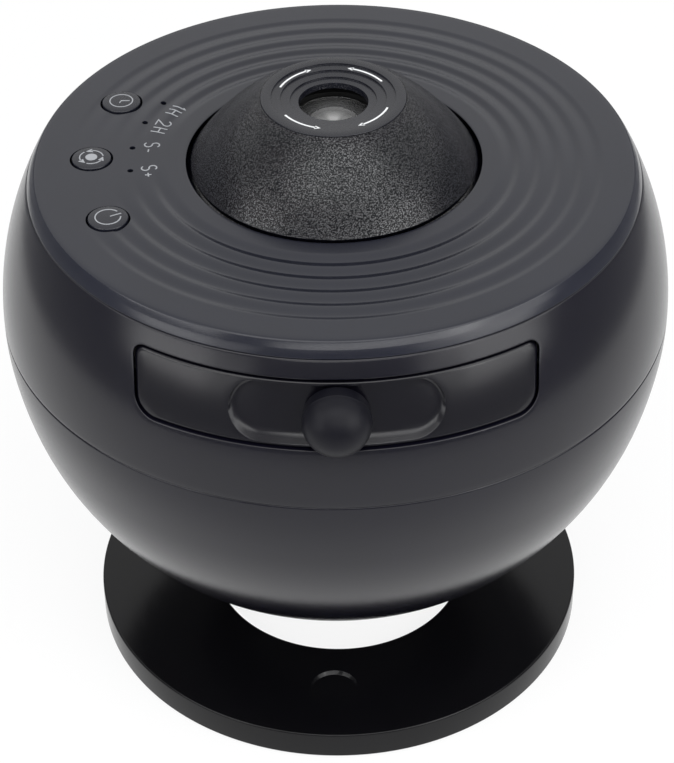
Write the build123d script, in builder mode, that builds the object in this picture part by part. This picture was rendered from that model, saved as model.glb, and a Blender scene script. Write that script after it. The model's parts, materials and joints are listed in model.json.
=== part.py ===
"""Star night light projector: a ball on a ring base, built as separate pieces.

Frame: millimetres, +Z up, origin on the ground at the centre of the ring base.
The film drawer faces -Y, the stand arm and the ball's pivot are at +Y.
Heights named *_H are measured from the ball's centre.
"""

from build123d import *
import os
from math import asin, atan2, cos, degrees, pi, radians, sin, sqrt, tan

os.makedirs("parts", exist_ok=True)

# ---------------------------------------------------------------- driving dimensions
BALL_R = 75.0
BALL_Z = 91.4
WALL = 2.5
BOWL_INSET = 0.3
SEAM_H = 1.0
COVER_SEAM_H = 33.3
COVER_TOP_H = 36.7
COVER_FLAT_R = 65.3
COVER_UNDER_H = 34.2
COVER_HOLE_R = 32.0
COVER_LIP_R = 63.9

RIPPLE_FIRST_R = 40.6
RIPPLE_PITCH = 4.55
RIPPLE_COUNT = 5
RIPPLE_DEPTH = 0.45
RIPPLE_FADE = 0.1
RISER_W = 0.6
RIPPLE_START_DEG = -148.0
RIPPLE_SWEEP_DEG = 288.0

BASE_R = 58.55
BASE_HOLE_R = 30.3
BASE_TOP_Z = 7.3
BASE_WALL = 2.4
FOOT_PROUD = 0.6
DIMPLE_Y = -45.0
DIMPLE_R = 7.0
DIMPLE_DEPTH = 1.0

ARM_INNER_R = 76.4
ARM_OUTER_R = 81.4
ARM_FOOT_Y = (44.5, 55.5)
ARM_FOOT_HALF_W = 15.0
ARM_EYE_R = 11.0
PIVOT_R = 3.0

OPENING_HALF_W = 41.1
OPENING_LOW_H = 15.0
OPENING_HIGH_H = 29.6
OPENING_CORNER_R = (4.2, 2.6)
FRONT_HALF_W = 40.45
FRONT_LOW_H = 15.25
FRONT_HIGH_H = 28.6
FRONT_CORNER_R = (3.8, 2.2)
FRONT_EDGE_R = 0.6
FRONT_R = BALL_R - 0.4
FRONT_T = 3.0
SCOOP_LENGTH = 43.4
SCOOP_HEIGHT = 12.2
SCOOP_H = 22.2
SCOOP_DEPTH = 1.3
SCOOP_EDGE_R = 1.1
KNOB_R = 6.95
KNOB_H = 22.4
KNOB_BACK_Y = -70.2
KNOB_RIM_Y = -73.5
KNOB_TIP_Y = -80.1

PLATE_H = 13.0
PLATE_T = 2.0
RAIL_X = (39.0, 43.0)
RAIL_HALF_L = 46.0
DECK_H = 29.6
DECK_T = 2.0

GEAR_MODULE = 1.0
DISC_TEETH = 60
PINION_TEETH = 12
GEAR_BACKLASH = 0.25
GEAR_TIP = 0.9
GEAR_ROOT = 1.2
PRESSURE_DEG = 20.0
GEAR_H = (19.0, 22.0)
MOTOR_Y = GEAR_MODULE * (DISC_TEETH + PINION_TEETH) / 2

CONE_BASE_R = 30.9
CONE_BULGE = (24.2, 45.3)
CONE_RIM = (15.95, 51.95)
CAP_R = 15.7
CAP_TOP_H = 52.2
CAP_SEAT_H = 50.95
CAP_STEPS_R = (13.4, 11.4, 9.3, 7.5)
CAP_STEP = 0.45
FOCUS_TURN_DEG = 50.0
FOCUS_TRAVEL = 2.2

BUTTON_R = 4.3
BUTTON_PROUD = 0.5
BUTTON_GAP = 0.45
BUTTON_RING_R = 52.9
BUTTON_ANGLES = {"timer": 154.6, "rotate": 180.0, "power": 205.4}
LIGHT_RING_R = 44.4
LIGHT_ANGLES = (149.6, 161.1, 174.6, 186.1)
LIGHT_R = 0.6

BOSS_AT = [(x, y) for x in (-50.0, 50.0) for y in (-20.0, 20.0)]
BOSS_R = 4.5
SCREW_R = 1.25
SCREW_CLEAR_R = 1.5
SCREW_HEAD_R = 2.5
SCREW_HEAD_T = 1.6
SCREW_CROSS = (2.6, 0.5)
SCREW_CROSS_DEPTH = 0.9
THREAD_GAP = 0.05
PAST = 1.0

CELL_R = 9.2
CELL_LENGTH = 65.0
CELL_H = -45.0
BOARD_H = -18.0
BOARD_T = 1.6
SOCKET_TURN_DEG = 35.0

# ---------------------------------------------------------------- shared planes and helpers
BALL_XZ = Plane(origin=(0, 0, BALL_Z), x_dir=(1, 0, 0), z_dir=(0, -1, 0))
BALL_YZ = Plane(origin=(0, 0, BALL_Z), x_dir=(0, 1, 0), z_dir=(1, 0, 0))
PIVOT_AXIS = Axis((0, 0, BALL_Z), (0, 1, 0))
TO_BALL = Location((0, 0, BALL_Z))
UPWARD = (Align.CENTER, Align.CENTER, Align.MIN)


def level(h):
    """Horizontal plane at height h above the ball's centre."""
    return Plane.XY.offset(BALL_Z + h)


def facing(y):
    """Upright plane across the pivot axis at y, drawn as seen from the front."""
    return Plane(origin=(0, y, BALL_Z), x_dir=(1, 0, 0), z_dir=(0, -1, 0))


def rim(r, h):
    """Horizontal radius of a sphere of radius r at height h above its centre."""
    return sqrt(r * r - h * h)


def on_circle(r, angle):
    """Point on a circle about the ball's upright axis."""
    return (r * cos(radians(angle)), r * sin(radians(angle)))


def dome_point(edge_r, edge, tip):
    """Point half way along a spherical face, as (distance from its axis, place along the axis)."""
    rise = tip - edge
    ball_r = (edge_r**2 + rise**2) / (2 * rise)
    half_angle = asin(edge_r / abs(ball_r)) / 2
    return (abs(ball_r) * sin(half_angle), tip - ball_r + ball_r * cos(half_angle))


def spherical_band(r_out, r_in, low, high):
    """Spherical wall between two heights; open at both ends."""
    middle = (low + high) / 2
    with BuildPart() as band:
        with BuildSketch(BALL_XZ):
            with BuildLine():
                ThreePointArc((rim(r_out, low), low), (rim(r_out, middle), middle), (rim(r_out, high), high))
                Line((rim(r_out, high), high), (rim(r_in, high), high))
                ThreePointArc((rim(r_in, high), high), (rim(r_in, middle), middle), (rim(r_in, low), low))
                Line((rim(r_in, low), low), (rim(r_out, low), low))
            make_face()
        revolve(axis=Axis.Z)
    return band.part


def bowl(r_out, r_in, high):
    """Spherical wall from the south pole up to one height."""
    bend = r_out * sin(radians(45))
    bend_in = r_in * sin(radians(45))
    with BuildPart() as cup:
        with BuildSketch(BALL_XZ):
            with BuildLine():
                ThreePointArc((0, -r_out), (bend, -bend), (rim(r_out, high), high))
                Line((rim(r_out, high), high), (rim(r_in, high), high))
                ThreePointArc((rim(r_in, high), high), (bend_in, -bend_in), (0, -r_in))
                Line((0, -r_in), (0, -r_out))
            make_face()
        revolve(axis=Axis.Z)
    return cup.part


def tube(r_out, r_in, low, high):
    """Upright ring about Z between two heights above the ball's centre."""
    with BuildPart() as ring:
        with BuildSketch(level(low)):
            Circle(r_out)
            Circle(r_in, mode=Mode.SUBTRACT)
        extrude(amount=high - low)
    return ring.part


def post(r, low, high, places):
    """Round upright posts at several places."""
    with BuildPart() as posts:
        with BuildSketch(level(low)):
            with Locations(*places):
                Circle(r)
        extrude(amount=high - low)
    return posts.part


def pivot_ring(r_out, r_in, y_low, y_high):
    """Ring about the ball's pivot axis."""
    with BuildPart() as ring:
        with BuildSketch(facing(y_high)):
            Circle(r_out)
            if r_in > 0:
                Circle(r_in, mode=Mode.SUBTRACT)
        extrude(amount=y_high - y_low)
    return ring.part


def screw(length, places, seat, down=True):
    """Pan-head screws; seat is the height of the face under the heads."""
    sign = -1 if down else 1
    with BuildPart() as screws:
        with BuildSketch(level(seat)):
            with Locations(*places):
                Circle(SCREW_HEAD_R)
        extrude(amount=-sign * SCREW_HEAD_T)
        with BuildSketch(level(seat)):
            with Locations(*places):
                Circle(SCREW_R - THREAD_GAP)
        extrude(amount=sign * length)
        with BuildSketch(level(seat - sign * SCREW_HEAD_T)):
            with Locations(*places):
                Rectangle(*SCREW_CROSS)
                Rectangle(*SCREW_CROSS, rotation=90)
        extrude(amount=sign * SCREW_CROSS_DEPTH, mode=Mode.SUBTRACT)
    return screws.part


def gear_teeth(teeth, bore):
    """Flat outline of a spur gear with straight-flanked teeth thinned for backlash."""
    pitch_r = GEAR_MODULE * teeth / 2
    tip_r = pitch_r + GEAR_TIP * GEAR_MODULE
    root_r = pitch_r - GEAR_ROOT * GEAR_MODULE
    half = degrees((pi * GEAR_MODULE / 4 - GEAR_BACKLASH / 2) / pitch_r)
    slope = degrees(GEAR_MODULE * tan(radians(PRESSURE_DEG)) / pitch_r)
    outline = []
    for tooth in range(teeth):
        centre = 360 * tooth / teeth
        for radius, offset in (
            (root_r, -half - GEAR_ROOT * slope),
            (tip_r, -half + GEAR_TIP * slope),
            (tip_r, half - GEAR_TIP * slope),
            (root_r, half + GEAR_ROOT * slope),
        ):
            outline.append(on_circle(radius, centre + offset))
    with BuildSketch() as face:
        with BuildLine():
            Polyline(*outline, close=True)
        make_face()
        Circle(bore, mode=Mode.SUBTRACT)
    return face.sketch


# ---------------------------------------------------------------- base
BASE_ROOF_Z = BASE_TOP_Z - BASE_WALL
BASE_PLATE_Z = (0.9, 2.3)
BASE_SCREW_RING_R = 44.5
BASE_SCREW_AT = [on_circle(BASE_SCREW_RING_R, angle) for angle in (35, 145, 215, 325)]
BASE_POST_R = 3.2
BASE_PILOT_DEPTH = 3.8
BASE_EDGE_R = 0.5
WEIGHT_R = (35.0, 53.5)
WEIGHT_T = 2.4
SINK_R = (1.5, 2.9)
SINK_DEPTH = 1.2
BASE_SCREW_LENGTH = 5.0
FOOT_R = (49.0, 54.5)
FOOT_GROOVE = 0.6
FIT = 0.1
ARM_SCREW_AT = [(-8.0, 50.0), (8.0, 50.0)]
ARM_SCREW_LENGTH = 8.0
ARM_HEADS_ROOM = (26.0, 12.0)

with BuildPart() as base_ring:
    with BuildSketch(Plane.XY.offset(FOOT_PROUD)):
        Circle(BASE_R)
        Circle(BASE_HOLE_R, mode=Mode.SUBTRACT)
    extrude(amount=BASE_TOP_Z - FOOT_PROUD)
    fillet(base_ring.faces().sort_by(Axis.Z)[-1].edges(), BASE_EDGE_R)
    with BuildSketch(Plane.XY.offset(FOOT_PROUD)):
        Circle(BASE_R - BASE_WALL)
        Circle(BASE_HOLE_R + BASE_WALL, mode=Mode.SUBTRACT)
    extrude(amount=BASE_ROOF_Z - FOOT_PROUD, mode=Mode.SUBTRACT)
    with BuildSketch(Plane.XY.offset(BASE_PLATE_Z[1])):
        with Locations(*BASE_SCREW_AT):
            Circle(BASE_POST_R)
    extrude(amount=BASE_ROOF_Z - BASE_PLATE_Z[1])
    with BuildSketch(Plane.XY.offset(BASE_PLATE_Z[1])):
        with Locations(*BASE_SCREW_AT):
            Circle(SCREW_R)
    extrude(amount=BASE_PILOT_DEPTH, mode=Mode.SUBTRACT)
    with BuildSketch(Plane.XY.offset(BASE_ROOF_Z)):
        with Locations(*ARM_SCREW_AT):
            Circle(SCREW_CLEAR_R)
    extrude(amount=BASE_WALL, mode=Mode.SUBTRACT)
    dimple_ball_r = (DIMPLE_R**2 + DIMPLE_DEPTH**2) / (2 * DIMPLE_DEPTH)
    with Locations((0, DIMPLE_Y, BASE_TOP_Z - DIMPLE_DEPTH + dimple_ball_r)):
        Sphere(dimple_ball_r, mode=Mode.SUBTRACT)
base_ring.part.label = "base_ring"
export_step(base_ring.part, "parts/base_ring.step")

with BuildPart() as base_weight:
    with BuildSketch(Plane.XY.offset(BASE_PLATE_Z[1])):
        Circle(WEIGHT_R[1])
        Circle(WEIGHT_R[0], mode=Mode.SUBTRACT)
        with Locations(*BASE_SCREW_AT):
            Circle(BASE_POST_R + 4 * FIT, mode=Mode.SUBTRACT)
        with Locations((0, ARM_SCREW_AT[0][1])):
            Rectangle(*ARM_HEADS_ROOM, mode=Mode.SUBTRACT)
    extrude(amount=WEIGHT_T)
base_weight.part.label = "base_weight"
export_step(base_weight.part, "parts/base_weight.step")

with BuildPart() as base_plate:
    with BuildSketch(Plane.XY.offset(BASE_PLATE_Z[0])):
        Circle(BASE_R - BASE_WALL - 2 * FIT)
        Circle(BASE_HOLE_R + BASE_WALL + 2 * FIT, mode=Mode.SUBTRACT)
    extrude(amount=BASE_PLATE_Z[1] - BASE_PLATE_Z[0])
    with BuildSketch(Plane.XY.offset(BASE_PLATE_Z[0])):
        Circle(FOOT_R[1] + FIT)
        Circle(FOOT_R[0] - FIT, mode=Mode.SUBTRACT)
    extrude(amount=FOOT_GROOVE, mode=Mode.SUBTRACT)
    with Locations(*[(x, y, BASE_PLATE_Z[0]) for x, y in BASE_SCREW_AT]):
        Cylinder(SINK_R[0], 2 * BASE_PLATE_Z[1], mode=Mode.SUBTRACT)
        Cone(SINK_R[1], SINK_R[0], SINK_DEPTH, align=UPWARD, mode=Mode.SUBTRACT)
base_plate.part.label = "base_plate"
export_step(base_plate.part, "parts/base_plate.step")

with BuildPart() as foot_ring:
    with BuildSketch():
        Circle(FOOT_R[1])
        Circle(FOOT_R[0], mode=Mode.SUBTRACT)
    extrude(amount=BASE_PLATE_Z[0] + FOOT_GROOVE)
    fillet(foot_ring.faces().sort_by(Axis.Z)[0].edges(), FOOT_GROOVE / 2)
foot_ring.part.label = "foot_ring"
export_step(foot_ring.part, "parts/foot_ring.step")

with BuildPart() as base_screws:
    with Locations(*[(x, y, BASE_PLATE_Z[0] + THREAD_GAP) for x, y in BASE_SCREW_AT]):
        Cone(SINK_R[1] - FIT, SCREW_R - THREAD_GAP, SINK_DEPTH - THREAD_GAP, align=UPWARD)
        Cylinder(SCREW_R - THREAD_GAP, BASE_SCREW_LENGTH, align=UPWARD)
        Box(*SCREW_CROSS, SCREW_CROSS_DEPTH, align=UPWARD, mode=Mode.SUBTRACT)
        Box(*reversed(SCREW_CROSS), SCREW_CROSS_DEPTH, align=UPWARD, mode=Mode.SUBTRACT)
base_screws.part.label = "base_screws"
export_step(base_screws.part, "parts/base_screws.step")

# ---------------------------------------------------------------- stand arm and pivot
outer_foot_h = -rim(ARM_OUTER_R, ARM_FOOT_Y[1])
inner_foot_h = -rim(ARM_INNER_R, ARM_FOOT_Y[0])
foot_h = BASE_TOP_Z - BALL_Z
ARM_SHOULDER_H = -72.0
ARM_EDGE_R = 1.2
ARM_PILOT_DEPTH = 9.0
CAP_POCKET_R = 6.2
CAP_POCKET_DEPTH = 2.4


def arc_middle(r, h):
    """Point half way round the arc from height h up to the pivot's height."""
    half_angle = asin(h / r) / 2
    return (r * cos(half_angle), r * sin(half_angle))


with BuildPart() as stand_arm:
    with BuildSketch(BALL_YZ):
        with BuildLine():
            Line((ARM_FOOT_Y[0], foot_h), (ARM_FOOT_Y[1], foot_h))
            Line((ARM_FOOT_Y[1], foot_h), (ARM_FOOT_Y[1], outer_foot_h))
            ThreePointArc(
                (ARM_FOOT_Y[1], outer_foot_h),
                arc_middle(ARM_OUTER_R, outer_foot_h),
                (ARM_OUTER_R, 0),
            )
            Line((ARM_OUTER_R, 0), (ARM_OUTER_R, ARM_EYE_R))
            Line((ARM_OUTER_R, ARM_EYE_R), (ARM_INNER_R, ARM_EYE_R))
            Line((ARM_INNER_R, ARM_EYE_R), (ARM_INNER_R, 0))
            ThreePointArc(
                (ARM_INNER_R, 0),
                arc_middle(ARM_INNER_R, inner_foot_h),
                (ARM_FOOT_Y[0], inner_foot_h),
            )
            Line((ARM_FOOT_Y[0], inner_foot_h), (ARM_FOOT_Y[0], foot_h))
        make_face()
    extrude(amount=ARM_FOOT_HALF_W, both=True)
    with BuildSketch(facing(0)):
        with BuildLine():
            Polyline((-ARM_EYE_R, 0), (-ARM_FOOT_HALF_W, ARM_SHOULDER_H), (-ARM_FOOT_HALF_W, foot_h))
            Line((-ARM_FOOT_HALF_W, foot_h), (ARM_FOOT_HALF_W, foot_h))
            Polyline((ARM_FOOT_HALF_W, foot_h), (ARM_FOOT_HALF_W, ARM_SHOULDER_H), (ARM_EYE_R, 0))
            ThreePointArc((ARM_EYE_R, 0), (0, ARM_EYE_R), (-ARM_EYE_R, 0))
        make_face()
    extrude(amount=-2 * ARM_OUTER_R, mode=Mode.INTERSECT)
    long_edges = stand_arm.edges().filter_by(lambda edge: edge.length > ARM_EYE_R + PAST)
    fillet(long_edges.filter_by(lambda edge: edge.center().Y > ARM_FOOT_Y[1] + PAST), ARM_EDGE_R)
    add(pivot_ring(CAP_POCKET_R, 0, ARM_OUTER_R - CAP_POCKET_DEPTH, ARM_OUTER_R + PAST), mode=Mode.SUBTRACT)
    add(pivot_ring(PIVOT_R, 0, ARM_INNER_R - PAST, ARM_OUTER_R), mode=Mode.SUBTRACT)
    with BuildSketch(Plane.XY.offset(BASE_TOP_Z)):
        with Locations(*ARM_SCREW_AT):
            Circle(SCREW_R)
    extrude(amount=ARM_PILOT_DEPTH, mode=Mode.SUBTRACT)
stand_arm.part.label = "stand_arm"
export_step(stand_arm.part, "parts/stand_arm.step")

with BuildPart() as arm_screws:
    add(screw(ARM_SCREW_LENGTH, ARM_SCREW_AT, BASE_ROOF_Z - BALL_Z, down=False))
arm_screws.part.label = "arm_screws"
export_step(arm_screws.part, "parts/arm_screws.step")

SHAFT_END_Y = 56.5
SHAFT_HEAD_R = 5.8
SHAFT_HEAD_T = 1.2
CLIP_Y = (58.4, 59.3)
CLIP_R = 5.6
CLIP_GROOVE = 0.7
CLIP_MOUTH = 2.6
WASHER_R = (3.2, 6.0)
WASHER_T = 0.7
WASHER_RISE = 1.2
BUSH_Y = (63.6, 69.0, 71.4)
BUSH_R = (5.5, 10.5, 7.0)
PIVOT_HOLE_R = (7.1, 10.8)
ARM_GAP = 0.4

with BuildPart() as pivot_shaft:
    pocket_y = ARM_OUTER_R - CAP_POCKET_DEPTH
    add(pivot_ring(PIVOT_R, 0, SHAFT_END_Y, pocket_y))
    add(pivot_ring(SHAFT_HEAD_R, 0, pocket_y, pocket_y + SHAFT_HEAD_T))
    add(pivot_ring(PIVOT_R + PAST, PIVOT_R - CLIP_GROOVE, CLIP_Y[0], CLIP_Y[1]), mode=Mode.SUBTRACT)
    chamfer(pivot_shaft.faces().sort_by(Axis.Y)[0].edges(), CLIP_GROOVE / 2)
pivot_shaft.part.label = "pivot_shaft"
export_step(pivot_shaft.part, "parts/pivot_shaft.step")

with BuildPart() as retaining_clip:
    clip_hole_r = PIVOT_R - CLIP_GROOVE + THREAD_GAP
    add(pivot_ring(CLIP_R, clip_hole_r, CLIP_Y[0] + THREAD_GAP, CLIP_Y[1] - THREAD_GAP))
    with BuildSketch(facing(CLIP_Y[1])):
        with Locations((0, -CLIP_R / 2 - PAST)):
            Rectangle(CLIP_MOUTH, CLIP_R + 2 * PAST)
    extrude(amount=CLIP_Y[1] - CLIP_Y[0], mode=Mode.SUBTRACT)
retaining_clip.part.label = "retaining_clip"
export_step(retaining_clip.part, "parts/retaining_clip.step")

with BuildPart() as spring_washers:
    for start, way in ((CLIP_Y[1] + FIT, 1), (BUSH_Y[0] - FIT, -1)):
        with BuildSketch(BALL_YZ):
            with BuildLine():
                Polyline(
                    (start, WASHER_R[0]),
                    (start + way * WASHER_T, WASHER_R[0]),
                    (start + way * (WASHER_T + WASHER_RISE), WASHER_R[1]),
                    (start + way * WASHER_RISE, WASHER_R[1]),
                    close=True,
                )
            make_face()
        revolve(axis=PIVOT_AXIS)
spring_washers.part.label = "spring_washers"
export_step(spring_washers.part, "parts/spring_washers.step")

with BuildPart() as pivot_cap:
    head_y = pocket_y + SHAFT_HEAD_T
    add(pivot_ring(CAP_POCKET_R - FIT, 0, head_y + THREAD_GAP, ARM_OUTER_R - FIT))
    fillet(pivot_cap.faces().sort_by(Axis.Y)[-1].edges(), ARM_GAP)
pivot_cap.part.label = "pivot_cap"
export_step(pivot_cap.part, "parts/pivot_cap.step")

with BuildPart() as pivot_bush:
    add(pivot_ring(BUSH_R[0], 0, BUSH_Y[0], BUSH_Y[1]))
    add(pivot_ring(BUSH_R[1], 0, BUSH_Y[1] - FIT, BUSH_Y[2]))
    add(pivot_ring(BUSH_R[2], 0, BUSH_Y[2] - FIT, ARM_INNER_R - ARM_GAP))
    add(pivot_ring(PIVOT_R + THREAD_GAP, 0, BUSH_Y[0] - PAST, ARM_INNER_R), mode=Mode.SUBTRACT)
pivot_bush.part.label = "pivot_bush"
export_step(pivot_bush.part, "parts/pivot_bush.step")

# ---------------------------------------------------------------- ball shells
BOWL_R = BALL_R - BOWL_INSET
BOWL_IN_R = BOWL_R - WALL
SHELL_IN_R = BALL_R - WALL
SCREW_WEB_H = -10.0
SHELL_SCREW_LENGTH = 16.0
BOSS_FOOT_H = -60.0
BOSS_WELL_R = 3.4
UPPER_BOSS_H = (3.6, PLATE_H)
BOSS_WEB_T = 3.0
BOARD_POSTS = [(x, y) for x in (-30.0, 30.0) for y in (-36.0, 36.0)]
BOARD_POST_R = 2.8
BOARD_POST_FOOT_H = -68.0
BOARD_PILOT_DEPTH = 9.0
SHELL_BITE = 1.0
SEAM_RIB_R = (70.4, 73.0)
SEAM_RIB_LOW_H = -3.0
SEAM_LIP_R = 72.0
SEAM_LIP_TOP_H = 3.2
PIVOT_SEAT_Y = (60.0, 71.5)

SOCKET_WAY = (sin(radians(SOCKET_TURN_DEG)), cos(radians(SOCKET_TURN_DEG)))
SOCKET_SIZE = (8.9, 3.2)
SOCKET_LIFT = 1.65
SOCKET_H = BOARD_H + BOARD_T + SOCKET_LIFT
BEZEL_SIZE = (12.2, 6.2)
BEZEL_CORNER_R = 1.5
BEZEL_Y = (70.2, 72.8)


def socket_plane(distance):
    """Upright plane across the charge socket's axis, this far from the ball's upright axis."""
    return Plane(
        origin=(distance * SOCKET_WAY[0], distance * SOCKET_WAY[1], BALL_Z + SOCKET_H),
        x_dir=(-SOCKET_WAY[1], SOCKET_WAY[0], 0),
        z_dir=(SOCKET_WAY[0], SOCKET_WAY[1], 0),
    )


with BuildPart() as bowl_posts:
    add(post(BOSS_R, BOSS_FOOT_H, SEAM_H - 2 * FIT, BOSS_AT))
    add(post(BOARD_POST_R, BOARD_POST_FOOT_H, BOARD_H, BOARD_POSTS))
    with Locations(TO_BALL):
        Sphere(BOWL_R - SHELL_BITE, mode=Mode.INTERSECT)

with BuildPart() as lower_shell:
    add(bowl(BOWL_R, BOWL_IN_R, SEAM_H))
    add(tube(SEAM_RIB_R[1], SEAM_RIB_R[0], SEAM_RIB_LOW_H, SEAM_H))
    add(tube(SEAM_LIP_R, SEAM_RIB_R[0], SEAM_H, SEAM_LIP_TOP_H))
    add(bowl_posts.part)
    add(post(BOSS_WELL_R, -BALL_R, SCREW_WEB_H, BOSS_AT), mode=Mode.SUBTRACT)
    add(post(SCREW_CLEAR_R, SCREW_WEB_H, SEAM_H + PAST, BOSS_AT), mode=Mode.SUBTRACT)
    add(post(SCREW_R, BOARD_H - BOARD_PILOT_DEPTH, BOARD_H, BOARD_POSTS), mode=Mode.SUBTRACT)
    add(pivot_ring(PIVOT_HOLE_R[1], 0, PIVOT_SEAT_Y[0], PIVOT_SEAT_Y[1]), mode=Mode.SUBTRACT)
    add(pivot_ring(PIVOT_HOLE_R[0], 0, PIVOT_SEAT_Y[0], BALL_R + PAST), mode=Mode.SUBTRACT)
    with BuildSketch(socket_plane(BOWL_IN_R - 4 * WALL)):
        RectangleRounded(BEZEL_SIZE[0] + 2 * FIT, BEZEL_SIZE[1] + 2 * FIT, BEZEL_CORNER_R + FIT)
    extrude(amount=8 * WALL, mode=Mode.SUBTRACT)
lower_shell.part.label = "lower_shell"
export_step(lower_shell.part, "parts/lower_shell.step")

with BuildPart() as upper_bosses:
    add(post(BOSS_R, UPPER_BOSS_H[0], UPPER_BOSS_H[1], BOSS_AT))
    for x, y in BOSS_AT:
        web_length = BALL_R - sqrt(x * x + y * y)
        with BuildSketch(Plane(origin=(x, y, BALL_Z + UPPER_BOSS_H[0]), x_dir=(x, y, 0), z_dir=(0, 0, 1))):
            with Locations((web_length / 2, 0)):
                Rectangle(web_length, BOSS_WEB_T)
        extrude(amount=UPPER_BOSS_H[1] - UPPER_BOSS_H[0])
    with Locations(TO_BALL):
        Sphere(BALL_R - SHELL_BITE, mode=Mode.INTERSECT)

with BuildPart() as drawer_way:
    with BuildSketch(facing(0)):
        with Locations((0, (OPENING_LOW_H + OPENING_HIGH_H) / 2)):
            Rectangle(2 * OPENING_HALF_W, OPENING_HIGH_H - OPENING_LOW_H)
    extrude(amount=BALL_R + PAST)
    fillet(drawer_way.edges().filter_by(Axis.Y).group_by(Axis.Z)[0], OPENING_CORNER_R[0])
    fillet(drawer_way.edges().filter_by(Axis.Y).group_by(Axis.Z)[-1], OPENING_CORNER_R[1])

with BuildPart() as upper_shell:
    add(spherical_band(BALL_R, SHELL_IN_R, SEAM_H, COVER_SEAM_H))
    add(upper_bosses.part)
    add(post(SCREW_R, UPPER_BOSS_H[0], UPPER_BOSS_H[1], BOSS_AT), mode=Mode.SUBTRACT)
    add(drawer_way.part, mode=Mode.SUBTRACT)
    add(pivot_ring(PIVOT_HOLE_R[1], 0, PIVOT_SEAT_Y[0], PIVOT_SEAT_Y[1]), mode=Mode.SUBTRACT)
    add(pivot_ring(PIVOT_HOLE_R[0], 0, PIVOT_SEAT_Y[0], BALL_R + PAST), mode=Mode.SUBTRACT)
upper_shell.part.label = "upper_shell"
export_step(upper_shell.part, "parts/upper_shell.step")

BUTTON_AT = {name: on_circle(BUTTON_RING_R, angle) for name, angle in BUTTON_ANGLES.items()}
LIGHT_AT = [on_circle(LIGHT_RING_R, angle) for angle in LIGHT_ANGLES]
STAKE_AT = [(-58.5, 12.5), (-58.5, -12.5), (-39.0, -12.0)]
CONTROL_BOARD_H = (29.8, 31.0)
RIPPLE_PLANE = Plane(
    origin=(0, 0, BALL_Z),
    x_dir=(*on_circle(1, RIPPLE_START_DEG), 0),
    z_dir=(*on_circle(1, RIPPLE_START_DEG - 90), 0),
)
BEVEL_H = 35.1
COVER_LIP_LOW_H = 31.2
COVER_LIP_T = 1.6
STAKE_R = (1.2, 2.4)
HOLE_EDGE_R = 0.5

with BuildPart() as top_cover:
    with BuildSketch(BALL_XZ):
        with BuildLine():
            low_r = rim(BALL_R, COVER_SEAM_H)
            mid_h = (COVER_SEAM_H + BEVEL_H) / 2
            ThreePointArc((low_r, COVER_SEAM_H), (rim(BALL_R, mid_h), mid_h), (rim(BALL_R, BEVEL_H), BEVEL_H))
            Polyline(
                (rim(BALL_R, BEVEL_H), BEVEL_H),
                (COVER_FLAT_R, COVER_TOP_H),
                (COVER_HOLE_R, COVER_TOP_H),
                (COVER_HOLE_R, COVER_UNDER_H),
                (COVER_LIP_R - COVER_LIP_T, COVER_UNDER_H),
                (COVER_LIP_R - COVER_LIP_T, COVER_LIP_LOW_H),
                (COVER_LIP_R, COVER_LIP_LOW_H),
                (COVER_LIP_R, COVER_SEAM_H),
                (low_r, COVER_SEAM_H),
            )
        make_face()
    revolve(axis=Axis.Z)
    hole_edge = top_cover.edges().filter_by(GeomType.CIRCLE).sort_by(Axis.Z)[-2:].sort_by(SortBy.RADIUS)[0]
    fillet(hole_edge, HOLE_EDGE_R)
    with BuildSketch(RIPPLE_PLANE):
        for ring in range(RIPPLE_COUNT):
            riser_r = RIPPLE_FIRST_R + ring * RIPPLE_PITCH
            start_r = riser_r - RIPPLE_PITCH + RISER_W / 2
            depth = RIPPLE_DEPTH * (1 - RIPPLE_FADE * ring)
            with BuildLine():
                ThreePointArc(
                    (start_r, COVER_TOP_H),
                    (riser_r - RIPPLE_PITCH / 2, COVER_TOP_H - depth / 3),
                    (riser_r - RISER_W, COVER_TOP_H - depth),
                )
                Polyline(
                    (riser_r - RISER_W, COVER_TOP_H - depth),
                    (riser_r, COVER_TOP_H),
                    (riser_r, COVER_TOP_H + PAST),
                    (start_r, COVER_TOP_H + PAST),
                    (start_r, COVER_TOP_H),
                )
            make_face()
    revolve(axis=Axis((0, 0, 0), (0, 0, 1)), revolution_arc=RIPPLE_SWEEP_DEG, mode=Mode.SUBTRACT)
    add(post(STAKE_R[1], CONTROL_BOARD_H[1], (COVER_UNDER_H + COVER_TOP_H) / 2, STAKE_AT))
    add(post(STAKE_R[0], CONTROL_BOARD_H[0], CONTROL_BOARD_H[1], STAKE_AT))
    through = (COVER_UNDER_H - PAST, COVER_TOP_H + PAST)
    add(post(BUTTON_R + BUTTON_GAP, *through, BUTTON_AT.values()), mode=Mode.SUBTRACT)
    add(post(LIGHT_R + THREAD_GAP, *through, LIGHT_AT), mode=Mode.SUBTRACT)
top_cover.part.label = "top_cover"
export_step(top_cover.part, "parts/top_cover.step")

with BuildPart() as shell_screws:
    add(screw(SHELL_SCREW_LENGTH, BOSS_AT, SCREW_WEB_H, down=False))
shell_screws.part.label = "shell_screws"
export_step(shell_screws.part, "parts/shell_screws.step")

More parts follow.
